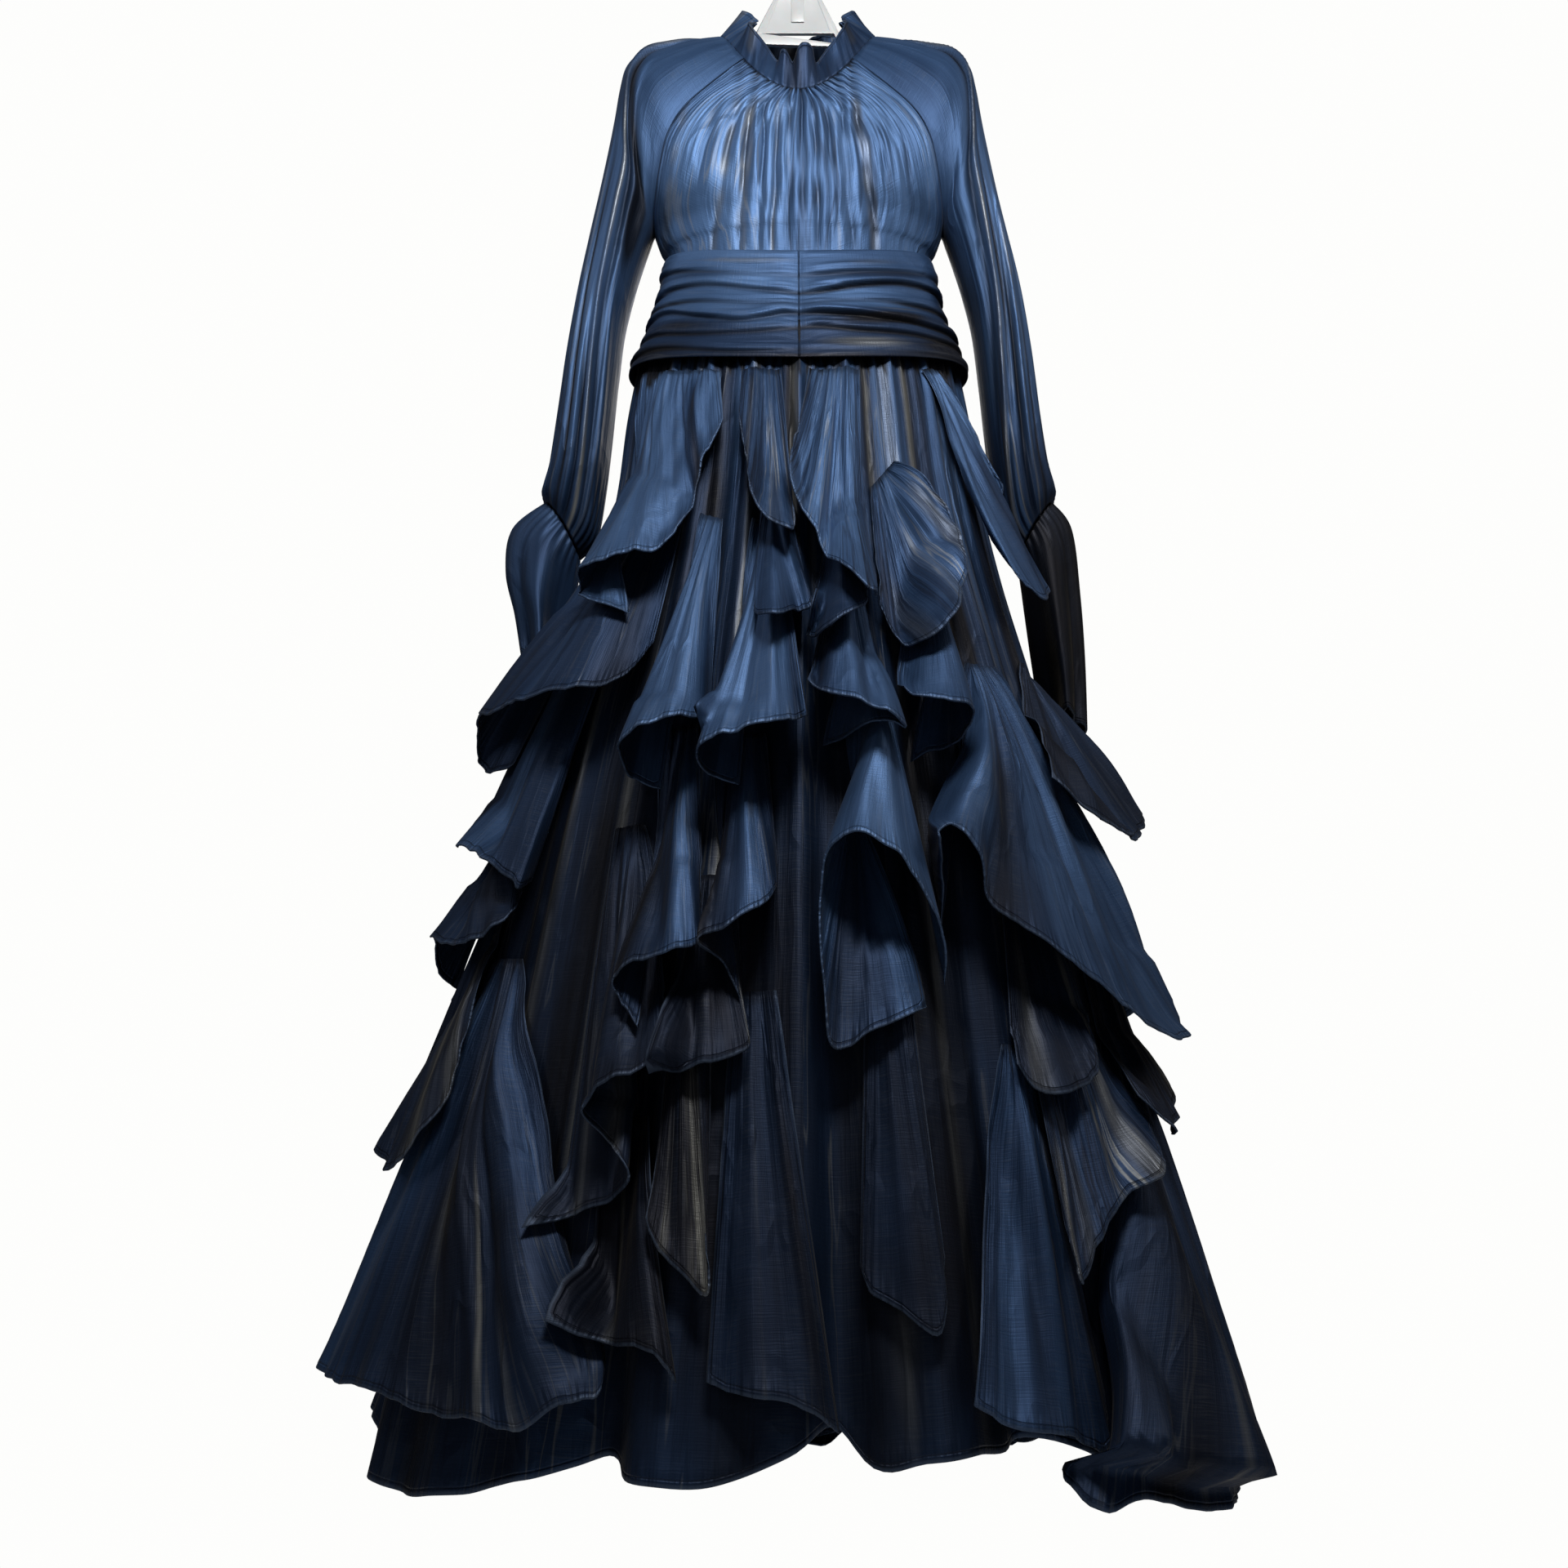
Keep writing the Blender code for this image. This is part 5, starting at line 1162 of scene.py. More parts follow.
def makeSkirt(layers):
    look = skirtLook
    share = np.linspace(0, 1, look["columns"])
    turn = 2 * math.pi * share
    fall = (np.linspace(0, 1, look["rows"]) ** 1.1)[:, None]
    angle = 360 * share[None, :] + np.zeros((look["rows"], 1))
    hem, out = smoothAlong(look["hem"], (np.degrees(turn) + 90) % 360 - 90).T
    hem = hem + 0.0015 * np.sin(31 * turn + 1.0) * np.sin(3 * turn)
    height = skirtTop + (hem[None, :] - skirtTop) * fall
    uneven = 1 + 0.35 * np.sin(3 * turn + 1.0)
    drift = 0.35 * np.sin(2 * turn + 3 * fall) + 0.25 * np.sin(5 * turn - 2 * fall)
    fold = 0.5 + 0.5 * np.cos(look["folds"] * turn + drift)
    fine = (0.005 + 0.009 * fall) * uneven[None, :] * fold**1.6
    wide = fall**2.4 * np.clip(out, 0, None)[None, :]
    thin = 0.0018 * np.cos(3 * look["folds"] * turn + 2.0 * np.sin(4 * turn))[None, :] * (1 - 0.5 * fall)
    gathers = 0.0012 * np.cos(6 * look["folds"] * turn + 3 * np.sin(3 * turn))[None, :]
    gathers = gathers * (1 - softStep(fall, 0.0, 0.15))
    flutter = 0.0030 * fall**8 * (wander(71, 60, share) + 0.5 * wander(72, 140, share))[None, :]
    flutter[:, -1] = flutter[:, 0]
    stand = np.clip(fine + wide + thin + gathers + flutter, 0, None)
    grid = skirtPoint(angle, height, stand)
    layers.add(grid)
    grid = rolledHem(grid, look["hemRoll"])
    grid[:, -1] = grid[:, 0]
    rows, columns = grid.shape[:2]
    length = metres(grid)
    uv = np.stack([np.broadcast_to(share[None, :] * 2.4, (rows, columns)), length], axis=-1)
    down = length / length[-1]
    degrees = 360 * share[None, :]
    # painted sheen highlights
    shine = np.zeros((rows, columns))
    for place, width, strength, low in look["shine"]:
        shine += strength * hill(degrees, place, width) * softStep(grid[:, :, 2], low - 0.05, low + 0.05)
    heights, tones = zip(*look["tone"][::-1])
    tone = np.interp(grid[:, :, 2], heights, tones)
    # painted shade in the valleys between the folds
    grooveShade = np.clip(1 - (0.5 + 0.5 * np.cos(look["folds"] * turn)) * 1.6, 0, 1)[None, :]
    grooveShade = grooveShade * (0.35 + 0.2 * down)
    tone = tone + 0.30 * np.sin(13 * turn + 1.0)[None, :] * down * (1 - down)
    signed = (degrees + 180) % 360 - 180
    # painted shade in the hollows between the gathers
    for place, width, low, change in look["shadedHollows"]:
        tone = tone + change * hill(signed, place, width) * softStep(grid[:, :, 2], low - 0.08, low + 0.05)
    marks = {
        "shine": np.clip(shine, 0, 1), "hem": np.clip(length[-6] - length, 0, None), "crush": 0.22,
        "tint": np.clip(0.95 * shadeUnderSash(grid, 6.5) + grooveShade, 0, 0.96), "tone": tone,
    }
    flat = flatSize(grid, look["flatWidth"])
    return clothSheet("skirt", grid, uv, marks, 0)


# name: the sewn line (angle, h, angle, h), then the hem from side edge to side edge (angle, h, stand)
petals = {
    "hem_1": {
        "sewn": (-66, 0.433, -57, 0.427),
        "hem": (
            (-86, 0.130, 0.022), (-80, 0.084, 0.084), (-66, 0.058, 0.100), (-50, 0.040, 0.095),
            (-42, 0.022, 0.085), (-35, 0.016, 0.080), (-30, 0.008, 0.085), (-25, 0.028, 0.070),
            (-22, 0.033, 0.050), (-28, 0.080, 0.010),
        ),
    },
    "hem_2": {
        "sewn": (-31, 0.267, -23, 0.264),
        "hem": (
            (-29, 0.091, 0.020), (-24, 0.078, 0.040), (-19, 0.070, 0.055), (-15, 0.060, 0.050),
            (-14, 0.043, 0.030),
        ),
    },
    "hem_3": {
        "sewn": (-11, 0.370, -4, 0.370),
        "hem": (
            (-11, 0.044, 0.030), (-7, 0.035, 0.060), (-2, 0.028, 0.065), (2, 0.018, 0.050),
            (4, 0.006, 0.025),
        ),
    },
    "hem_4": {
        "sewn": (32, 0.330, 38, 0.330),
        "hem": (
            (18, 0.026, 0.045), (21, 0.014, 0.075), (26, 0.008, 0.078), (31, 0.004, 0.060),
            (36, -0.006, 0.040), (40, 0.040, 0.010),
        ),
    },
    "hem_5": {
        "sewn": (58, 0.350, 80, 0.350),
        "hem": (
            (36, -0.005, 0.015), (30, -0.030, 0.045), (32, -0.050, 0.068), (37, -0.040, 0.075),
            (45, -0.050, 0.086), (58, -0.042, 0.066), (69, -0.022, 0.036), (80, 0.050, 0.008),
        ),
    },
    "low_1": {
        "sewn": (-84, 0.520, -68, 0.500),
        "hem": (
            (-84, 0.345, 0.020), (-81, 0.290, 0.066), (-70, 0.258, 0.060), (-61, 0.232, 0.050),
            (-57, 0.277, 0.045), (-58, 0.339, 0.035), (-61, 0.400, 0.020),
        ),
    },
    "low_2": {
        "sewn": (-20, 0.360, -14, 0.360),
        "hem": (
            (-19, 0.172, 0.030), (-17, 0.149, 0.040), (-14, 0.128, 0.045), (-11, 0.109, 0.040),
            (-12, 0.170, 0.020),
        ),
    },
    "low_3": {
        "sewn": (10, 0.400, 16, 0.400),
        "hem": (
            (7, 0.135, 0.025), (8, 0.112, 0.040), (11, 0.100, 0.045), (15, 0.082, 0.040),
            (17, 0.140, 0.015),
        ),
    },
    "low_4": {
        "sewn": (38, 0.360, 51, 0.360),
        "hem": (
            (34, 0.170, 0.020), (33, 0.123, 0.045), (38, 0.160, 0.060), (43, 0.194, 0.064),
            (50, 0.225, 0.055), (57, 0.278, 0.030),
        ),
    },
    "low_5": {
        "sewn": (57, 0.430, 76, 0.430),
        "hem": (
            (53, 0.292, 0.020), (55, 0.260, 0.045), (62, 0.276, 0.058), (68, 0.310, 0.045),
            (70, 0.350, 0.020),
        ),
    },
    "low_6": {
        "sewn": (38, 0.500, 47, 0.500),
        "hem": (
            (32, 0.310, 0.020), (33, 0.286, 0.040), (37, 0.283, 0.050), (42, 0.297, 0.050),
            (45, 0.312, 0.035), (49, 0.370, 0.015),
        ),
    },
    "mid_1": {
        "sewn": (-37, 0.540, -30, 0.540),
        "hem": (
            (-35, 0.167, 0.010), (-31, 0.179, 0.020), (-25, 0.190, 0.025), (-21, 0.204, 0.030),
            (-25, 0.235, 0.042), (-30, 0.262, 0.060), (-27, 0.279, 0.075), (-21, 0.292, 0.078),
            (-17, 0.312, 0.050),
        ),
    },
    "mid_2": {
        "sewn": (-18, 0.480, -12, 0.480),
        "hem": (
            (-19, 0.288, 0.025), (-15, 0.297, 0.045), (-11, 0.303, 0.052), (-7, 0.312, 0.045),
            (-9, 0.346, 0.015),
        ),
    },
    "mid_3": {
        "sewn": (-30, 0.640, -21, 0.640),
        "hem": (
            (-21, 0.331, 0.000), (-24, 0.350, 0.020), (-26, 0.375, 0.050), (-22, 0.389, 0.080),
            (-17, 0.394, 0.085), (-14, 0.400, 0.060), (-15, 0.430, 0.020),
        ),
    },
    "mid_4": {
        "sewn": (-17, 0.625, -7, 0.625),
        "hem": (
            (-8, 0.359, 0.000), (-11, 0.387, 0.020), (-14, 0.403, 0.055), (-11, 0.415, 0.078),
            (-7, 0.430, 0.080), (-4, 0.448, 0.055), (-4, 0.487, 0.015),
        ),
    },
    "fall_1": {
        "sewn": (-82, 0.600, -72, 0.590),
        "hem": (
            (-84, 0.420, 0.010), (-82, 0.438, 0.045), (-80, 0.462, 0.068), (-67, 0.446, 0.070),
            (-58, 0.440, 0.060), (-53, 0.459, 0.040), (-59, 0.492, 0.015),
        ),
    },
    "fall_2": {
        "sewn": (-82, 0.800, -48, 0.780),
        "hem": (
            (-86, 0.600, 0.025), (-81, 0.566, 0.062), (-66, 0.540, 0.070), (-55, 0.510, 0.055),
            (-51, 0.486, 0.040), (-56, 0.500, 0.015),
        ),
    },
    "fall_3": {
        "sewn": (10, 0.690, 17, 0.690),
        "hem": (
            (21, 0.354, 0.010), (15, 0.340, 0.020), (10, 0.328, 0.030), (4, 0.311, 0.040),
            (2, 0.367, 0.045), (1, 0.449, 0.050), (2, 0.488, 0.070), (6, 0.497, 0.095),
            (11, 0.482, 0.095), (16, 0.446, 0.080), (20, 0.405, 0.055), (21, 0.375, 0.025),
        ),
    },
    "fall_4": {
        "sewn": (41, 0.720, 49, 0.720),
        "hem": (
            (24, 0.430, 0.010), (20, 0.475, 0.030), (17, 0.505, 0.064), (19, 0.514, 0.084),
            (24, 0.486, 0.080), (26, 0.449, 0.060), (33, 0.420, 0.062), (44, 0.380, 0.072),
            (56, 0.350, 0.072), (70, 0.362, 0.068), (81, 0.436, 0.040),
        ),
    },
    "fall_5": {
        "sewn": (66, 0.745, 79, 0.742),
        "hem": (
            (49, 0.595, 0.015), (60, 0.560, 0.045), (72, 0.556, 0.060), (82, 0.580, 0.076),
            (88, 0.605, 0.078), (86, 0.680, 0.035),
        ),
    },
    "hip_1": {
        "sewn": (-68, 0.960, -34, 0.900),
        "hem": (
            (-70, 0.640, 0.000), (-80, 0.638, 0.020), (-85, 0.656, 0.060), (-79, 0.684, 0.082),
            (-62, 0.672, 0.085), (-50, 0.673, 0.080), (-41, 0.674, 0.072), (-34, 0.686, 0.045),
            (-33, 0.732, 0.015),
        ),
    },
    "hip_2": {
        "sewn": (-29, 0.885, -22, 0.875),
        "hem": (
            (-25, 0.570, 0.008), (-30, 0.577, 0.030), (-30, 0.594, 0.070), (-26, 0.609, 0.090),
            (-20, 0.615, 0.092), (-16, 0.622, 0.060), (-17, 0.650, 0.020),
        ),
    },
    "hip_3": {
        "sewn": (-13, 0.870, -5, 0.865),
        "hem": (
            (-9, 0.560, 0.010), (-13, 0.566, 0.035), (-17, 0.577, 0.065), (-15, 0.589, 0.088),
            (-9, 0.597, 0.095), (-3, 0.608, 0.085), (1, 0.625, 0.050),
        ),
    },
    "hip_4": {
        "sewn": (10, 0.870, 17, 0.870),
        "hem": (
            (1, 0.658, 0.045), (4, 0.641, 0.075), (9, 0.630, 0.088), (14, 0.616, 0.085),
            (17, 0.607, 0.065), (13, 0.612, 0.040), (8, 0.616, 0.020), (2, 0.613, 0.000),
        ),
    },
    "hip_5": {
        "sewn": (31, 0.830, 38, 0.830),
        "hem": (
            (17, 0.655, 0.040), (19, 0.643, 0.075), (23, 0.637, 0.088), (28, 0.636, 0.078),
            (31, 0.631, 0.050), (28, 0.612, 0.025), (23, 0.607, 0.010), (20, 0.600, 0.000),
        ),
    },
    "waist_1": {
        "sewn": (-73, 1.097, -27, 1.066),
        "hem": (
            (-34, 0.756, 0.012), (-42, 0.772, 0.020), (-49, 0.785, 0.040), (-49, 0.801, 0.065),
            (-42, 0.808, 0.080), (-35, 0.815, 0.082), (-30, 0.815, 0.062), (-26, 0.850, 0.045),
            (-26, 0.925, 0.032), (-22, 0.990, 0.022),
        ),
    },
    "waist_2": {
        "sewn": (-11, 0.905, -4, 0.900),
        "hem": (
            (-9, 0.757, 0.025), (-8, 0.728, 0.045), (-4, 0.722, 0.058), (-1, 0.735, 0.058),
            (2, 0.742, 0.045), (1, 0.780, 0.020),
        ),
    },
    "waist_3": {
        "sewn": (-19, 1.064, -6, 1.062),
        "hem": (
            (-17, 0.996, 0.022), (-14, 0.936, 0.035), (-10, 0.866, 0.050), (-6, 0.838, 0.058),
            (-2, 0.824, 0.052), (-2, 0.874, 0.030),
        ),
    },
    "waist_4": {
        "sewn": (7, 0.850, 14, 0.850),
        "hem": (
            (1, 0.720, 0.020), (3, 0.710, 0.050), (7, 0.720, 0.060), (11, 0.736, 0.056),
            (14, 0.775, 0.025),
        ),
    },
    "waist_5": {
        "sewn": (3, 1.062, 20, 1.064),
        "hem": (
            (0, 0.980, 0.018), (-2, 0.930, 0.033), (-2, 0.890, 0.042), (0, 0.858, 0.048),
            (3, 0.830, 0.055), (5, 0.794, 0.060), (8, 0.766, 0.064), (11, 0.742, 0.060),
            (13, 0.746, 0.045), (16, 0.791, 0.015),
        ),
    },
    "waist_6": {
        "sewn": (21, 0.913, 29, 0.948),
        "hem": (
            (17, 0.770, 0.012), (21, 0.706, 0.042), (26, 0.730, 0.055), (31, 0.763, 0.060),
            (35, 0.793, 0.058), (37, 0.829, 0.052), (38, 0.862, 0.045), (37, 0.890, 0.038),
            (34, 0.925, 0.025),
        ),
    },
    "waist_7": {
        "sewn": (46, 1.080, 59, 1.090),
        "hem": (
            (64, 0.880, 0.015), (61, 0.830, 0.038), (66, 0.812, 0.050), (75, 0.830, 0.050),
            (72, 0.900, 0.038), (67, 0.963, 0.028), (62, 1.021, 0.018),
        ),
    },
}

# how each petal takes the light, all painted: tone (0 ink, 1 mid blue) and bands (place, width, change,
# from) are painted light and shade, the bronze shine (place, width, strength, from) painted sheen
# highlights; creases (place at the hem, at the sewn line, depth in mm, width)
petalLooks = {
    "hem_1": {
        "tone": 0.30,
        "lightAndShadeBands": (
            (0.32, 0.13, 0.72, 0.0), (0.60, 0.07, -0.30, 0.1), (0.88, 0.06, 0.28, 0.0),
            (0.88, 0.08, -0.25, 0.6), (0.08, 0.05, -0.25, 0.2),
        ),
        "shine": (
            (0.70, 0.006, 0.95, 0.50), (0.60, 0.05, 0.40, 0.30), (0.60, 0.06, -0.35, 0.65),
            (0.76, 0.010, 0.35, 0.80), (0.45, 0.015, 0.25, 0.5),
        ),
        "creases": (
            (0.70, 0.60, 4.0, 0.016), (0.62, 0.52, -6.0, 0.045), (0.78, 0.68, -4.5, 0.035),
            (0.42, 0.36, 4.0, 0.070), (0.88, 0.82, 4.0, 0.040), (0.20, 0.20, -2.5, 0.040),
        ),
    },
    "hem_2": {"tone": 0.14, "shine": ((0.35, 0.06, 0.3, 0.2),)},
    "hem_3": {
        "tone": 0.34,
        "lightAndShadeBands": ((0.80, 0.10, -0.25, 0.1), (0.15, 0.08, 0.10, 0.3)),
        "shine": ((0.42, 0.03, 0.25, 0.3),),
        "creases": (
            (0.35, 0.40, 3.5, 0.090), (0.60, 0.58, -3.0, 0.050), (0.80, 0.75, 3.0, 0.060),
            (0.12, 0.2, -2.5, 0.05),
        ),
    },
    "hem_4": {
        "tone": 0.62,
        "lightAndShadeBands": ((0.22, 0.10, 0.25, 0.4), (0.45, 0.05, 0.20, 0.4), (0.85, 0.12, -0.50, 0.0)),
    },
    "hem_5": {
        "tone": 0.40,
        "lightAndShadeBands": (
            (0.50, 0.05, 0.25, 0.60), (0.76, 0.06, 0.30, 0.30), (0.30, 0.06, -0.35, 0.2),
            (0.62, 0.04, -0.25, 0.4),
        ),
        "shine": ((0.52, 0.020, 0.55, 0.45), (0.62, 0.008, 0.5, 0.40), (0.40, 0.010, 0.3, 0.5)),
        "creases": (
            (0.50, 0.50, 4.0, 0.035), (0.62, 0.58, -4.0, 0.030), (0.74, 0.70, 4.0, 0.035),
            (0.36, 0.36, -5.0, 0.050), (0.86, 0.84, -3.0, 0.030),
        ),
    },
    "low_1": {
        "tone": 0.28,
        "shine": ((0.60, 0.04, 0.6, 0.35), (0.74, 0.05, 0.95, 0.25), (0.3, 0.04, 0.3, 0.4)),
    },
    "low_2": {"tone": 0.10, "shine": ((0.58, 0.12, 0.95, 0.20), (0.22, 0.04, 0.4, 0.4)), "crush": 0.6},
    "low_3": {"tone": 0.24, "lightAndShadeBands": ((0.3, 0.15, 0.1, 0.2),)},
    "low_4": {
        "tone": 0.50,
        "shine": (
            (0.70, 0.045, 1.0, 0.20), (0.12, 0.05, 0.9, 0.55), (0.55, 0.02, 0.4, 0.5),
            (0.3, 0.05, 0.3, 0.4),
        ),
        "crush": 0.5,
    },
    "low_5": {"tone": 0.25, "shine": ((0.72, 0.06, 1.0, 0.15), (0.86, 0.04, 0.7, 0.20)), "crush": 0.5},
    "low_6": {"tone": 0.22, "shine": ((0.20, 0.10, 0.3, 0.3), (0.85, 0.05, 0.7, 0.5))},
    "mid_1": {
        "tone": 0.24,
        "shine": ((0.12, 0.04, 0.3, 0.5), (0.45, 0.05, 0.4, 0.6)),
        "lightAndShadeBands": ((0.8, 0.1, -0.1, 0.3),),
    },
    "mid_2": {"tone": 0.18, "shine": ((0.75, 0.05, 0.4, 0.3),)},
    "mid_3": {"tone": 0.40, "lightAndShadeBands": ((0.70, 0.10, 0.40, 0.25), (0.38, 0.08, -0.30, 0.3))},
    "mid_4": {"tone": 0.40, "lightAndShadeBands": ((0.62, 0.12, 0.40, 0.2), (0.30, 0.10, -0.35, 0.3))},
    "fall_1": {"tone": 0.42, "lightAndShadeBands": ((0.3, 0.08, 0.25, 0.2), (0.75, 0.08, -0.2, 0.2))},
    "fall_2": {
        "tone": 0.62,
        "lightAndShadeBands": ((0.50, 0.12, 0.25, 0.15), (0.18, 0.08, -0.30, 0.3), (0.8, 0.08, -0.2, 0.1)),
    },
    "fall_3": {
        "tone": 0.92,
        "lightAndShadeBands": ((0.20, 0.14, -0.55, 0.45), (0.68, 0.08, 0.20, 0.3)),
        "creases": ((0.62, 0.50, 2.0, 0.06), (0.80, 0.75, -2.0, 0.05), (0.35, 0.3, -2.0, 0.06)),
    },
    "fall_4": {
        "tone": 0.62,
        "lightAndShadeBands": (
            (0.36, 0.05, -0.45, 0.3), (0.72, 0.12, 0.20, 0.3), (0.20, 0.05, 0.20, 0.3),
            (0.5, 0.05, 0.1, 0.4),
        ),
        "creases": (
            (0.30, 0.25, -4.0, 0.035), (0.45, 0.4, 3.0, 0.06), (0.62, 0.55, -2.5, 0.04),
            (0.75, 0.7, 3.0, 0.06), (0.88, 0.85, -2.5, 0.04),
        ),
    },
    "fall_5": {"tone": 0.24, "lightAndShadeBands": ((0.40, 0.08, 0.20, 0.3), (0.75, 0.08, 0.15, 0.3))},
    "hip_1": {
        "tone": 0.46,
        "lightAndShadeBands": ((0.30, 0.08, -0.22, 0.3), (0.62, 0.08, 0.18, 0.1), (0.85, 0.06, -0.3, 0.2)),
    },
    "hip_2": {
        "tone": 0.80,
        "lightAndShadeBands": ((0.25, 0.10, -0.35, 0.6), (0.60, 0.10, 0.20, 0.2), (0.85, 0.06, -0.3, 0.2)),
    },
    "hip_3": {
        "tone": 0.84,
        "lightAndShadeBands": ((0.25, 0.10, -0.35, 0.6), (0.55, 0.10, 0.20, 0.2), (0.92, 0.05, -0.35, 0.3)),
    },
    "hip_4": {"tone": 0.74, "lightAndShadeBands": ((0.10, 0.08, -0.30, 0.2), (0.40, 0.10, 0.15, 0.3))},
    "hip_5": {"tone": 0.82, "lightAndShadeBands": ((0.75, 0.15, -0.40, 0.5),)},
    "waist_1": {
        "tone": 0.80,
        "lightAndShadeBands": ((0.78, 0.05, -0.55, 0.15), (0.45, 0.06, 0.15, 0.2), (0.25, 0.06, -0.25, 0.5)),
        "creases": (
            (0.30, 0.22, 3.0, 0.04), (0.45, 0.40, -4.0, 0.035), (0.58, 0.52, 3.5, 0.035),
            (0.70, 0.64, -4.0, 0.03), (0.86, 0.80, 3.0, 0.04),
        ),
    },
    "waist_2": {"tone": 0.66, "lightAndShadeBands": ((0.8, 0.1, -0.3, 0.3),)},
    "waist_3": {
        "tone": 0.56,
        "shine": ((0.30, 0.06, 0.45, 0.1), (0.70, 0.05, 0.30, 0.2), (0.9, 0.04, 0.6, 0.3)),
        "crush": 0.40,
    },
    "waist_4": {"tone": 0.60, "lightAndShadeBands": ((0.8, 0.1, -0.3, 0.3),)},
    "waist_5": {
        "tone": 0.84,
        "lightAndShadeBands": ((0.12, 0.06, -0.40, 0.1), (0.55, 0.08, 0.15, 0.2), (0.9, 0.06, -0.3, 0.2)),
        "crush": 0.5,
        "shine": ((0.06, 0.02, 0.7, 0.1),),
    },
    "waist_6": {
        "tone": 0.62,
        "shine": (
            (0.70, 0.08, 0.40, 0.3), (0.45, 0.06, 0.20, 0.3), (0.88, 0.03, 0.7, 0.3),
            (0.25, 0.04, 0.3, 0.5),
        ),
        "lightAndShadeBands": ((0.10, 0.06, -0.30, 0.5),),
        "crush": 0.35,
        "creases": (
            (0.20, 0.30, -2.0, 0.03), (0.35, 0.42, 2.0, 0.03), (0.50, 0.50, -2.0, 0.025),
            (0.62, 0.58, 2.0, 0.03), (0.78, 0.68, -2.0, 0.025),
        ),
    },
    "waist_7": {"tone": 0.80, "lightAndShadeBands": ((0.35, 0.08, -0.30, 0.3),)},
}

# first and last angle, sewn height, hem height, stand; two folds in each
backPetals = {
    "flounce_back_hem_1": (96, 152, 0.42, 0.030, 0.066),
    "flounce_back_hem_2": (150, 210, 0.44, 0.034, 0.085),
    "flounce_back_hem_3": (208, 264, 0.42, 0.022, 0.090),
    "flounce_back_low_1": (102, 174, 0.60, 0.240, 0.080),
    "flounce_back_low_2": (186, 262, 0.60, 0.215, 0.080),
    "flounce_back_mid_1": (98, 158, 0.78, 0.430, 0.078),
    "flounce_back_mid_2": (150, 212, 0.76, 0.400, 0.080),
    "flounce_back_mid_3": (206, 262, 0.78, 0.425, 0.078),
    "flounce_back_hip_1": (110, 178, 0.94, 0.625, 0.075),
    "flounce_back_hip_2": (184, 252, 0.94, 0.605, 0.075),
    "flounce_back_waist_1": (118, 176, 1.095, 0.845, 0.055),
    "flounce_back_waist_2": (184, 244, 1.095, 0.830, 0.055),
}

# shares of a fold's width, its drop below the hem height in metres, and its share of the stand
backFold = (
    (0.14, 0.022, 0.05), (0.00, 0.008, 0.48), (0.22, -0.006, 0.92), (0.60, -0.008, 1.00),
    (0.88, 0.004, 0.50), (0.97, 0.020, 0.12),
)


def backHem(first, last, height, stand, folds=2):
    width = (last - first) / (folds + 0.1)
    points = []
    for k in range(folds):
        left = first + width * k + 1.5 * math.sin(2.3 * k + first)
        lower = 0.012 * math.sin(1.7 * k + first)
        for share, drop, out in backFold:
            reach = out * stand * (1 - 0.08 * math.sin(k + last))
            points.append((left + width * share, height - drop + lower, reach))
    points.append((last, height - 0.02, 0.0))
    return points


# the creases of a petal without its own, and how all of the back's petals take the light
usualCreases = (
    (0.22, 0.30, -2.2, 0.05), (0.40, 0.42, 2.2, 0.045), (0.58, 0.55, -2.0, 0.045), (0.78, 0.70, 2.2, 0.05),
)
backLightAndShadeBands = (
    (0.15, 0.08, -0.3, 0.3), (0.38, 0.07, 0.25, 0.2), (0.62, 0.06, -0.3, 0.3), (0.85, 0.07, 0.2, 0.2),
)
backShine = ((0.30, 0.03, 0.5, 0.2), (0.72, 0.03, 0.6, 0.3))


def makePetals(layers):
    for number, (name, (first, last, sewn, height, stand)) in enumerate(backPetals.items()):
        inset = (last - first) * 0.16
        line = (first + inset, sewn, last - inset, sewn)
        creases = []
        for atHem, atTop, depth, width in usualCreases:
            creases.append((atHem + 0.03 * math.sin(number + 7 * atHem), atTop, depth, width))
        # painted light: the back's petals lighter the higher they hang, with painted bands and sheen
        # highlights
        look = {
            "tone": 0.25 + 0.62 * float(np.clip(height + 0.1, 0, 1)), "crush": 0.35,
            "lightAndShadeBands": backLightAndShadeBands, "shine": backShine, "creases": creases,
        }
        makePetal(layers, name, line, backHem(first, last, height, stand), look, 300 + number, 1.35)
    for number, (name, petal) in enumerate(petals.items()):
        makePetal(layers, "flounce_" + name, petal["sewn"], petal["hem"], petalLooks[name], 100 + number)


# Hanger: a white moulded plate and arms, and its wire hook

hangerLook = {
    "slope": 0.295, "tip": 0.176, "clearance": 0.0015, "armDepth": 0.016, "thickness": 0.005,
    "plateFoot": 1.5615, "plateHead": 1.622, "footHalf": 0.042, "headHalf": 0.023,
    # width and depth of the rim, size of a tab and how far its middle is below the plate's head
    "rim": 0.0032, "sunk": 0.0009, "tab": (0.015, 0.0016, 0.034), "tabDrop": 0.028,
    # distance of the arm's root from the plate, and the places along it where it bends
    "rootStep": 0.006, "bends": (0.090, 0.135),
    "colour": rgba(0.46, 0.475, 0.49), "hookRadius": 0.022, "wire": 0.0019,
}


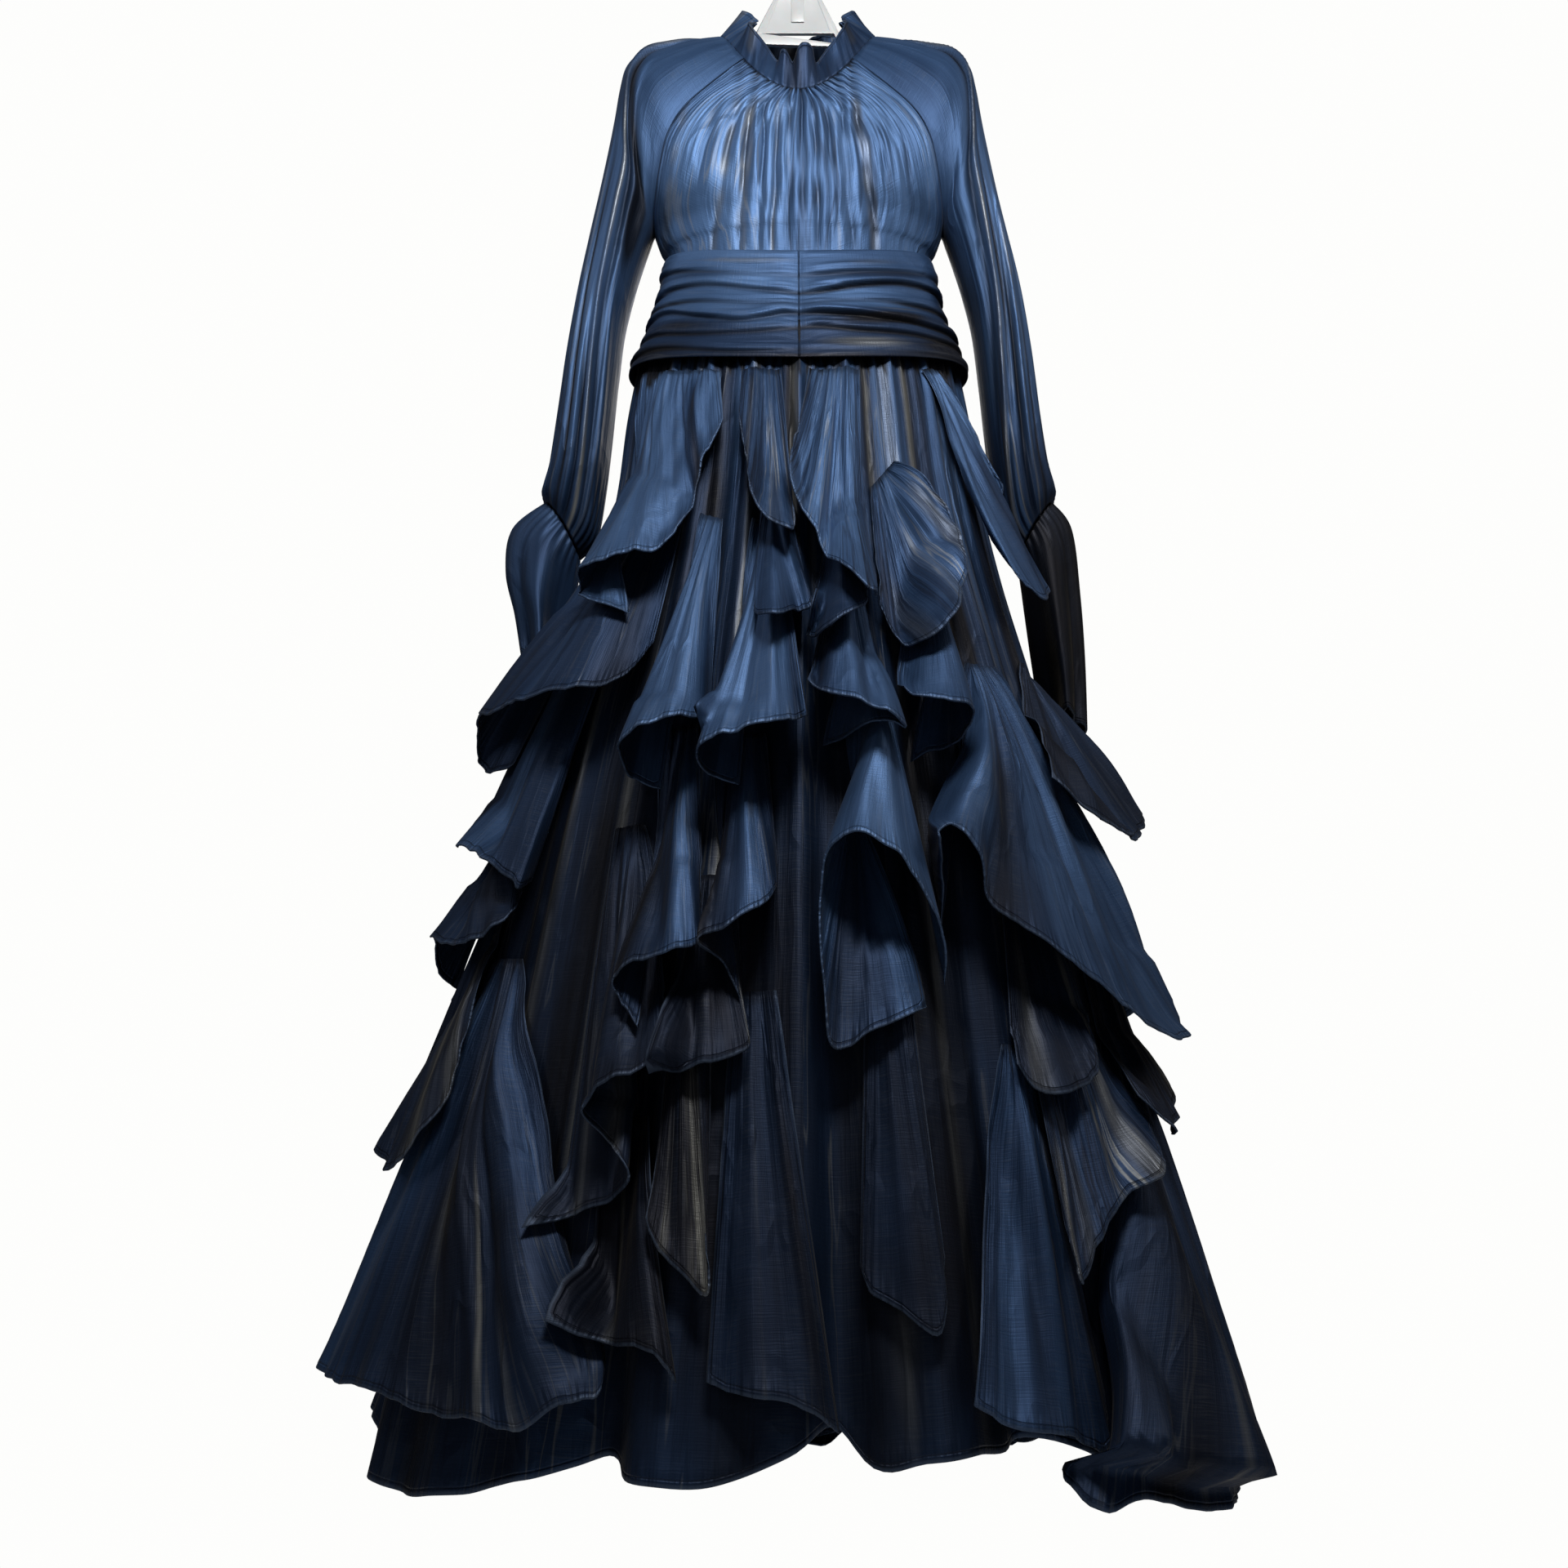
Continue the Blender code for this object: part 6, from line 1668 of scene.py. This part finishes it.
def makePlastic(name, colour):
    plastic = Finish(name)
    place = plastic.wire(plastic.node("ShaderNodeTexCoord"), 3)
    speckle = plastic.noise(place, 180.0, 2.0, 0.5)
    cloud = plastic.noise(place, 22.0, 2.0, 0.5)
    grey = plastic.blend(cloud.between(0.35, 0.7), tuple(c * 0.9 for c in colour[:3]) + (1.0,), colour)
    plastic.put(plastic.shader.inputs["Base Color"], grey)
    plastic.put(plastic.shader.inputs["Roughness"], 0.24 + 0.14 * speckle)
    plastic.put(plastic.shader.inputs["Normal"], plastic.bump(speckle * 0.5 + cloud, 0.0002, 0.6))
    plastic.shader.inputs["Subsurface Weight"].default_value = 0.15
    plastic.shader.inputs["Subsurface Scale"].default_value = 0.004
    plastic.shader.inputs["Coat Weight"].default_value = 0.25
    plastic.shader.inputs["Coat Roughness"].default_value = 0.12
    return plastic.material


def makeSteel(name):
    steel = Finish(name)
    place = steel.wire(steel.node("ShaderNodeTexCoord"), 3)
    drawn = steel.noise(steel.mapping(place, (900.0, 900.0, 60.0)), 1.0, 2.0, 0.5)
    steel.put(steel.shader.inputs["Base Color"], steel.blend(drawn, rgba(0.46, 0.46, 0.48),
        rgba(0.66, 0.66, 0.68)))
    steel.put(steel.shader.inputs["Roughness"], 0.16 + 0.16 * drawn)
    steel.put(steel.shader.inputs["Metallic"], 1.0)
    steel.put(steel.shader.inputs["Normal"], steel.bump(drawn, 0.00005, 0.5))
    return steel.material


def shoulderHeight(x):
    return neckLook["side"] - hangerLook["slope"] * (x - neckLook["halfWidth"])


def applyAll(made):
    bpy.ops.object.select_all(action="DESELECT")
    made.select_set(True)
    bpy.context.view_layer.objects.active = made
    bpy.ops.object.transform_apply(location=True, rotation=True, scale=True)
    for modifier in list(made.modifiers):
        bpy.ops.object.modifier_apply(modifier=modifier.name)
    bpy.ops.object.shade_smooth_by_angle(angle=math.radians(40))


def selectFaces(mesh, wanted):
    bpy.ops.object.mode_set(mode="OBJECT")
    for part in (mesh.vertices, mesh.edges, mesh.polygons):
        part.foreach_set("select", [False] * len(part))
    for face in mesh.polygons:
        if wanted(face):
            face.select = True
    bpy.ops.object.mode_set(mode="EDIT")
    bpy.ops.mesh.select_mode(type="FACE")


def makeHanger():
    look = hangerLook
    bpy.ops.object.select_all(action="DESELECT")
    middle = (look["plateFoot"] + look["plateHead"]) / 2 - hookSeat
    bpy.ops.mesh.primitive_cube_add(size=1, location=(0, 0, middle))
    plate = bpy.context.object
    plate.name = "hangerMoulding"
    plate.scale = (2 * look["footHalf"], look["thickness"], look["plateHead"] - look["plateFoot"])
    bpy.ops.object.transform_apply(location=True, rotation=True, scale=True)
    top = look["plateHead"] - hookSeat
    # taper the top, then sink a panel inside a rim on both faces
    selectFaces(plate.data, lambda face: face.normal.z > 0.9)
    ratio = look["headHalf"] / look["footHalf"]
    bpy.ops.transform.resize(value=(ratio, 1, 1), center_override=(0, 0, top))
    for way in (-1, 1):
        selectFaces(plate.data, lambda face: face.normal.y * way > 0.9 and face.area > 0.001)
        bpy.ops.mesh.inset(thickness=look["rim"], depth=0)
        bpy.ops.mesh.inset(thickness=0.0006, depth=-look["sunk"])
    # a raised tab in the middle of each face, left bare
    bpy.ops.object.mode_set(mode="OBJECT")
    pieces = []
    for way in (-1, 1):
        bpy.ops.object.select_all(action="DESELECT")
        place = (0, way * look["thickness"] / 2, top - look["tabDrop"])
        bpy.ops.mesh.primitive_cube_add(size=1, location=place)
        tab = bpy.context.object
        tab.scale = look["tab"]
        pieces.append(tab)
    bpy.ops.object.select_all(action="DESELECT")
    for piece in pieces + [plate]:
        piece.select_set(True)
    bpy.context.view_layer.objects.active = plate
    bpy.ops.object.join()
    # the arms leave the plate's lower corners and run down along the shoulders
    root = look["footHalf"] + look["rootStep"]
    ratio = look["armDepth"] / (look["plateHead"] - look["plateFoot"])
    armTop = shoulderHeight(root) - look["clearance"] - 0.0012
    middle = (armTop - ratio * look["plateHead"]) / (1 - ratio) - hookSeat
    for way in (-1, 1):
        selectFaces(plate.data, lambda face: face.normal.x * way > 0.6 and abs(face.center.y) < 0.001)
        bpy.ops.mesh.extrude_region_move(TRANSFORM_OT_translate={"value": (look["rootStep"] * way, 0, 0)})
        bpy.ops.transform.resize(value=(0, 1, ratio), center_override=(root * way, 0, middle))
        start = root
        for x in look["bends"] + (look["tip"],):
            bpy.ops.mesh.extrude_region_move(TRANSFORM_OT_translate={
                "value": ((x - start) * way, 0, shoulderHeight(x) - shoulderHeight(start)),
            })
            start = x
        armEnd = shoulderHeight(start) - look["clearance"] - 0.008 - hookSeat
        bpy.ops.transform.resize(value=(1, 0.8, 0.6), center_override=(0, 0, armEnd))
    bpy.ops.object.mode_set(mode="OBJECT")
    bevel = plate.modifiers.new("moulded edges", "BEVEL")
    bevel.width = 0.0012
    bevel.segments = 3
    bevel.limit_method = "ANGLE"
    bevel.angle_limit = math.radians(28)
    applyAll(plate)
    plate.data.materials.clear()
    plate.data.materials.append(makePlastic("mouldedPlastic", look["colour"]))
    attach(plate, "root")
    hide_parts("hanger")


# a wire ring opened at one side, with a stem that runs down into the plate
def makeHook():
    look = hangerLook
    foot = look["plateFoot"] - hookSeat
    bpy.ops.object.select_all(action="DESELECT")
    centre = look["wire"] - look["hookRadius"]
    bpy.ops.curve.primitive_bezier_curve_add(location=(0, 0, 0))
    wire = bpy.context.object
    wire.name = "hookWire"
    spline = wire.data.splines[0]
    turns = np.radians(np.linspace(200, -52, 9))
    route = [(look["hookRadius"] * math.cos(t), centre + look["hookRadius"] * math.sin(t)) for t in turns]
    route += [(0.0075, foot + 0.0805), (0.002, foot + 0.0745), (0.0, foot + 0.0685), (0.0, foot + 0.0609)]
    spline.bezier_points.add(len(route) - 2)
    for point, (x, z) in zip(spline.bezier_points, route):
        point.co = (x, 0, z)
        point.handle_left_type = point.handle_right_type = "AUTO"
    wire.data.dimensions = "3D"
    wire.data.resolution_u = 8
    wire.data.bevel_depth = look["wire"]
    wire.data.bevel_resolution = 5
    wire.data.use_fill_caps = True
    wire.select_set(True)
    bpy.context.view_layer.objects.active = wire
    bpy.ops.object.convert(target="MESH")
    wire = bpy.context.object
    applyAll(wire)
    wire.data.materials.clear()
    wire.data.materials.append(makeSteel("brightWire"))
    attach(wire, "root")
    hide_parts("hook")


# Stage, light, camera

stageLook = {"floor": -1.97, "size": 7.6, "pale": rgba(0.90, 0.90, 0.89), "glow": 0.05}


def makeStage():
    bpy.ops.object.select_all(action="DESELECT")
    bpy.ops.mesh.primitive_plane_add(size=stageLook["size"], location=(0, 0, stageLook["floor"]))
    floor = bpy.context.object
    floor.name = "paleFloor"
    paint = Finish("paleFloorPaint")
    place = paint.wire(paint.node("ShaderNodeTexCoord"), 3)
    mottle = paint.noise(place, 3.0, 2.0, 0.5)
    pale = paint.blend(mottle, rgba(0.86, 0.86, 0.85), stageLook["pale"])
    paint.put(paint.shader.inputs["Base Color"], pale)
    paint.put(paint.shader.inputs["Roughness"], 0.85)
    paint.shader.inputs["Emission Color"].default_value = stageLook["pale"]
    paint.shader.inputs["Emission Strength"].default_value = stageLook["glow"]
    floor.data.materials.append(paint.material)


def aimedAt(made, point):
    made.rotation_euler = (Vector(point) - made.location).to_track_quat("-Z", "Y").to_euler()


# place, what it points at, width, height, watts, colour
lights = {
    "keyAbove": ((0.12, -1.10, 0.15), (0.0, 0.0, -0.55), 0.5, 0.4, 21, (1.0, 0.99, 0.96)),
    "leftStrip": ((-1.6, -0.5, 0.3), (0.0, 0.0, -0.6), 0.2, 1.6, 5, (0.94, 0.96, 1.0)),
    "rightStrip": ((1.6, -0.4, 0.2), (0.0, 0.0, -0.6), 0.2, 1.6, 6, (1.0, 0.96, 0.90)),
    "lowFill": ((-0.5, -3.0, -0.9), (0.0, 0.0, -1.2), 1.6, 1.6, 2, (1.0, 1.0, 1.0)),
    "backSoft": ((0.2, 1.35, 0.25), (0.0, 0.0, -0.6), 0.9, 0.6, 5, (1.0, 1.0, 1.0)),
}


def makeLights():
    for name, (place, target, width, height, watts, colour) in lights.items():
        data = bpy.data.lights.new(name, "AREA")
        data.shape = "RECTANGLE"
        data.size = width
        data.size_y = height
        data.energy = watts
        data.color = colour
        lamp = bpy.data.objects.new(name, data)
        lamp.location = place
        aimedAt(lamp, target)
        bpy.context.scene.collection.objects.link(lamp)
    world = bpy.data.worlds.new("studio")
    bpy.context.scene.world = world
    world.use_nodes = True
    tree = world.node_tree
    tree.nodes.clear()
    out = tree.nodes.new("ShaderNodeOutputWorld")
    mix = tree.nodes.new("ShaderNodeMixShader")
    path = tree.nodes.new("ShaderNodeLightPath")
    soft = tree.nodes.new("ShaderNodeBackground")
    soft.inputs["Color"].default_value = rgba(0.93, 0.95, 1.0)
    soft.inputs["Strength"].default_value = 0.035
    seen = tree.nodes.new("ShaderNodeBackground")
    seen.inputs["Color"].default_value = rgba(0.985, 0.985, 0.975)
    seen.inputs["Strength"].default_value = 1.0
    tree.links.new(path.outputs["Is Camera Ray"], mix.inputs[0])
    tree.links.new(soft.outputs[0], mix.inputs[1])
    tree.links.new(seen.outputs[0], mix.inputs[2])
    tree.links.new(mix.outputs[0], out.inputs[0])


def makeCamera():
    data = bpy.data.cameras.new("photoCamera")
    data.sensor_width = 36.0
    data.lens = 46.3
    camera = bpy.data.objects.new("photoCamera", data)
    camera.location = (-0.016, -1.935, -0.027 - hookSeat)
    camera.rotation_euler = (math.radians(109.0), 0.0, 0.0)
    bpy.context.scene.collection.objects.link(camera)
    bpy.context.scene.camera = camera
    bpy.context.scene.view_settings.view_transform = "Standard"


def main():
    layers = Layers()
    makeSkirt(layers)
    print("skirt made")
    makePetals(layers)
    print("petals made")
    makeBodice("bodice_front", True)
    makeBodice("bodice_back", False)
    makeCollar()
    makeSash()
    print("bodice, collar and sash made")
    for side, word in ((1, "right"), (-1, "left")):
        makeSleeve("sleeve_" + word, side)
        makeCuff("cuff_" + word, side)
    print("sleeves and cuffs made")
    makeHanger()
    makeHook()
    print("hanger made")
    makeStage()
    makeLights()
    makeCamera()
    print("scene made")


main()
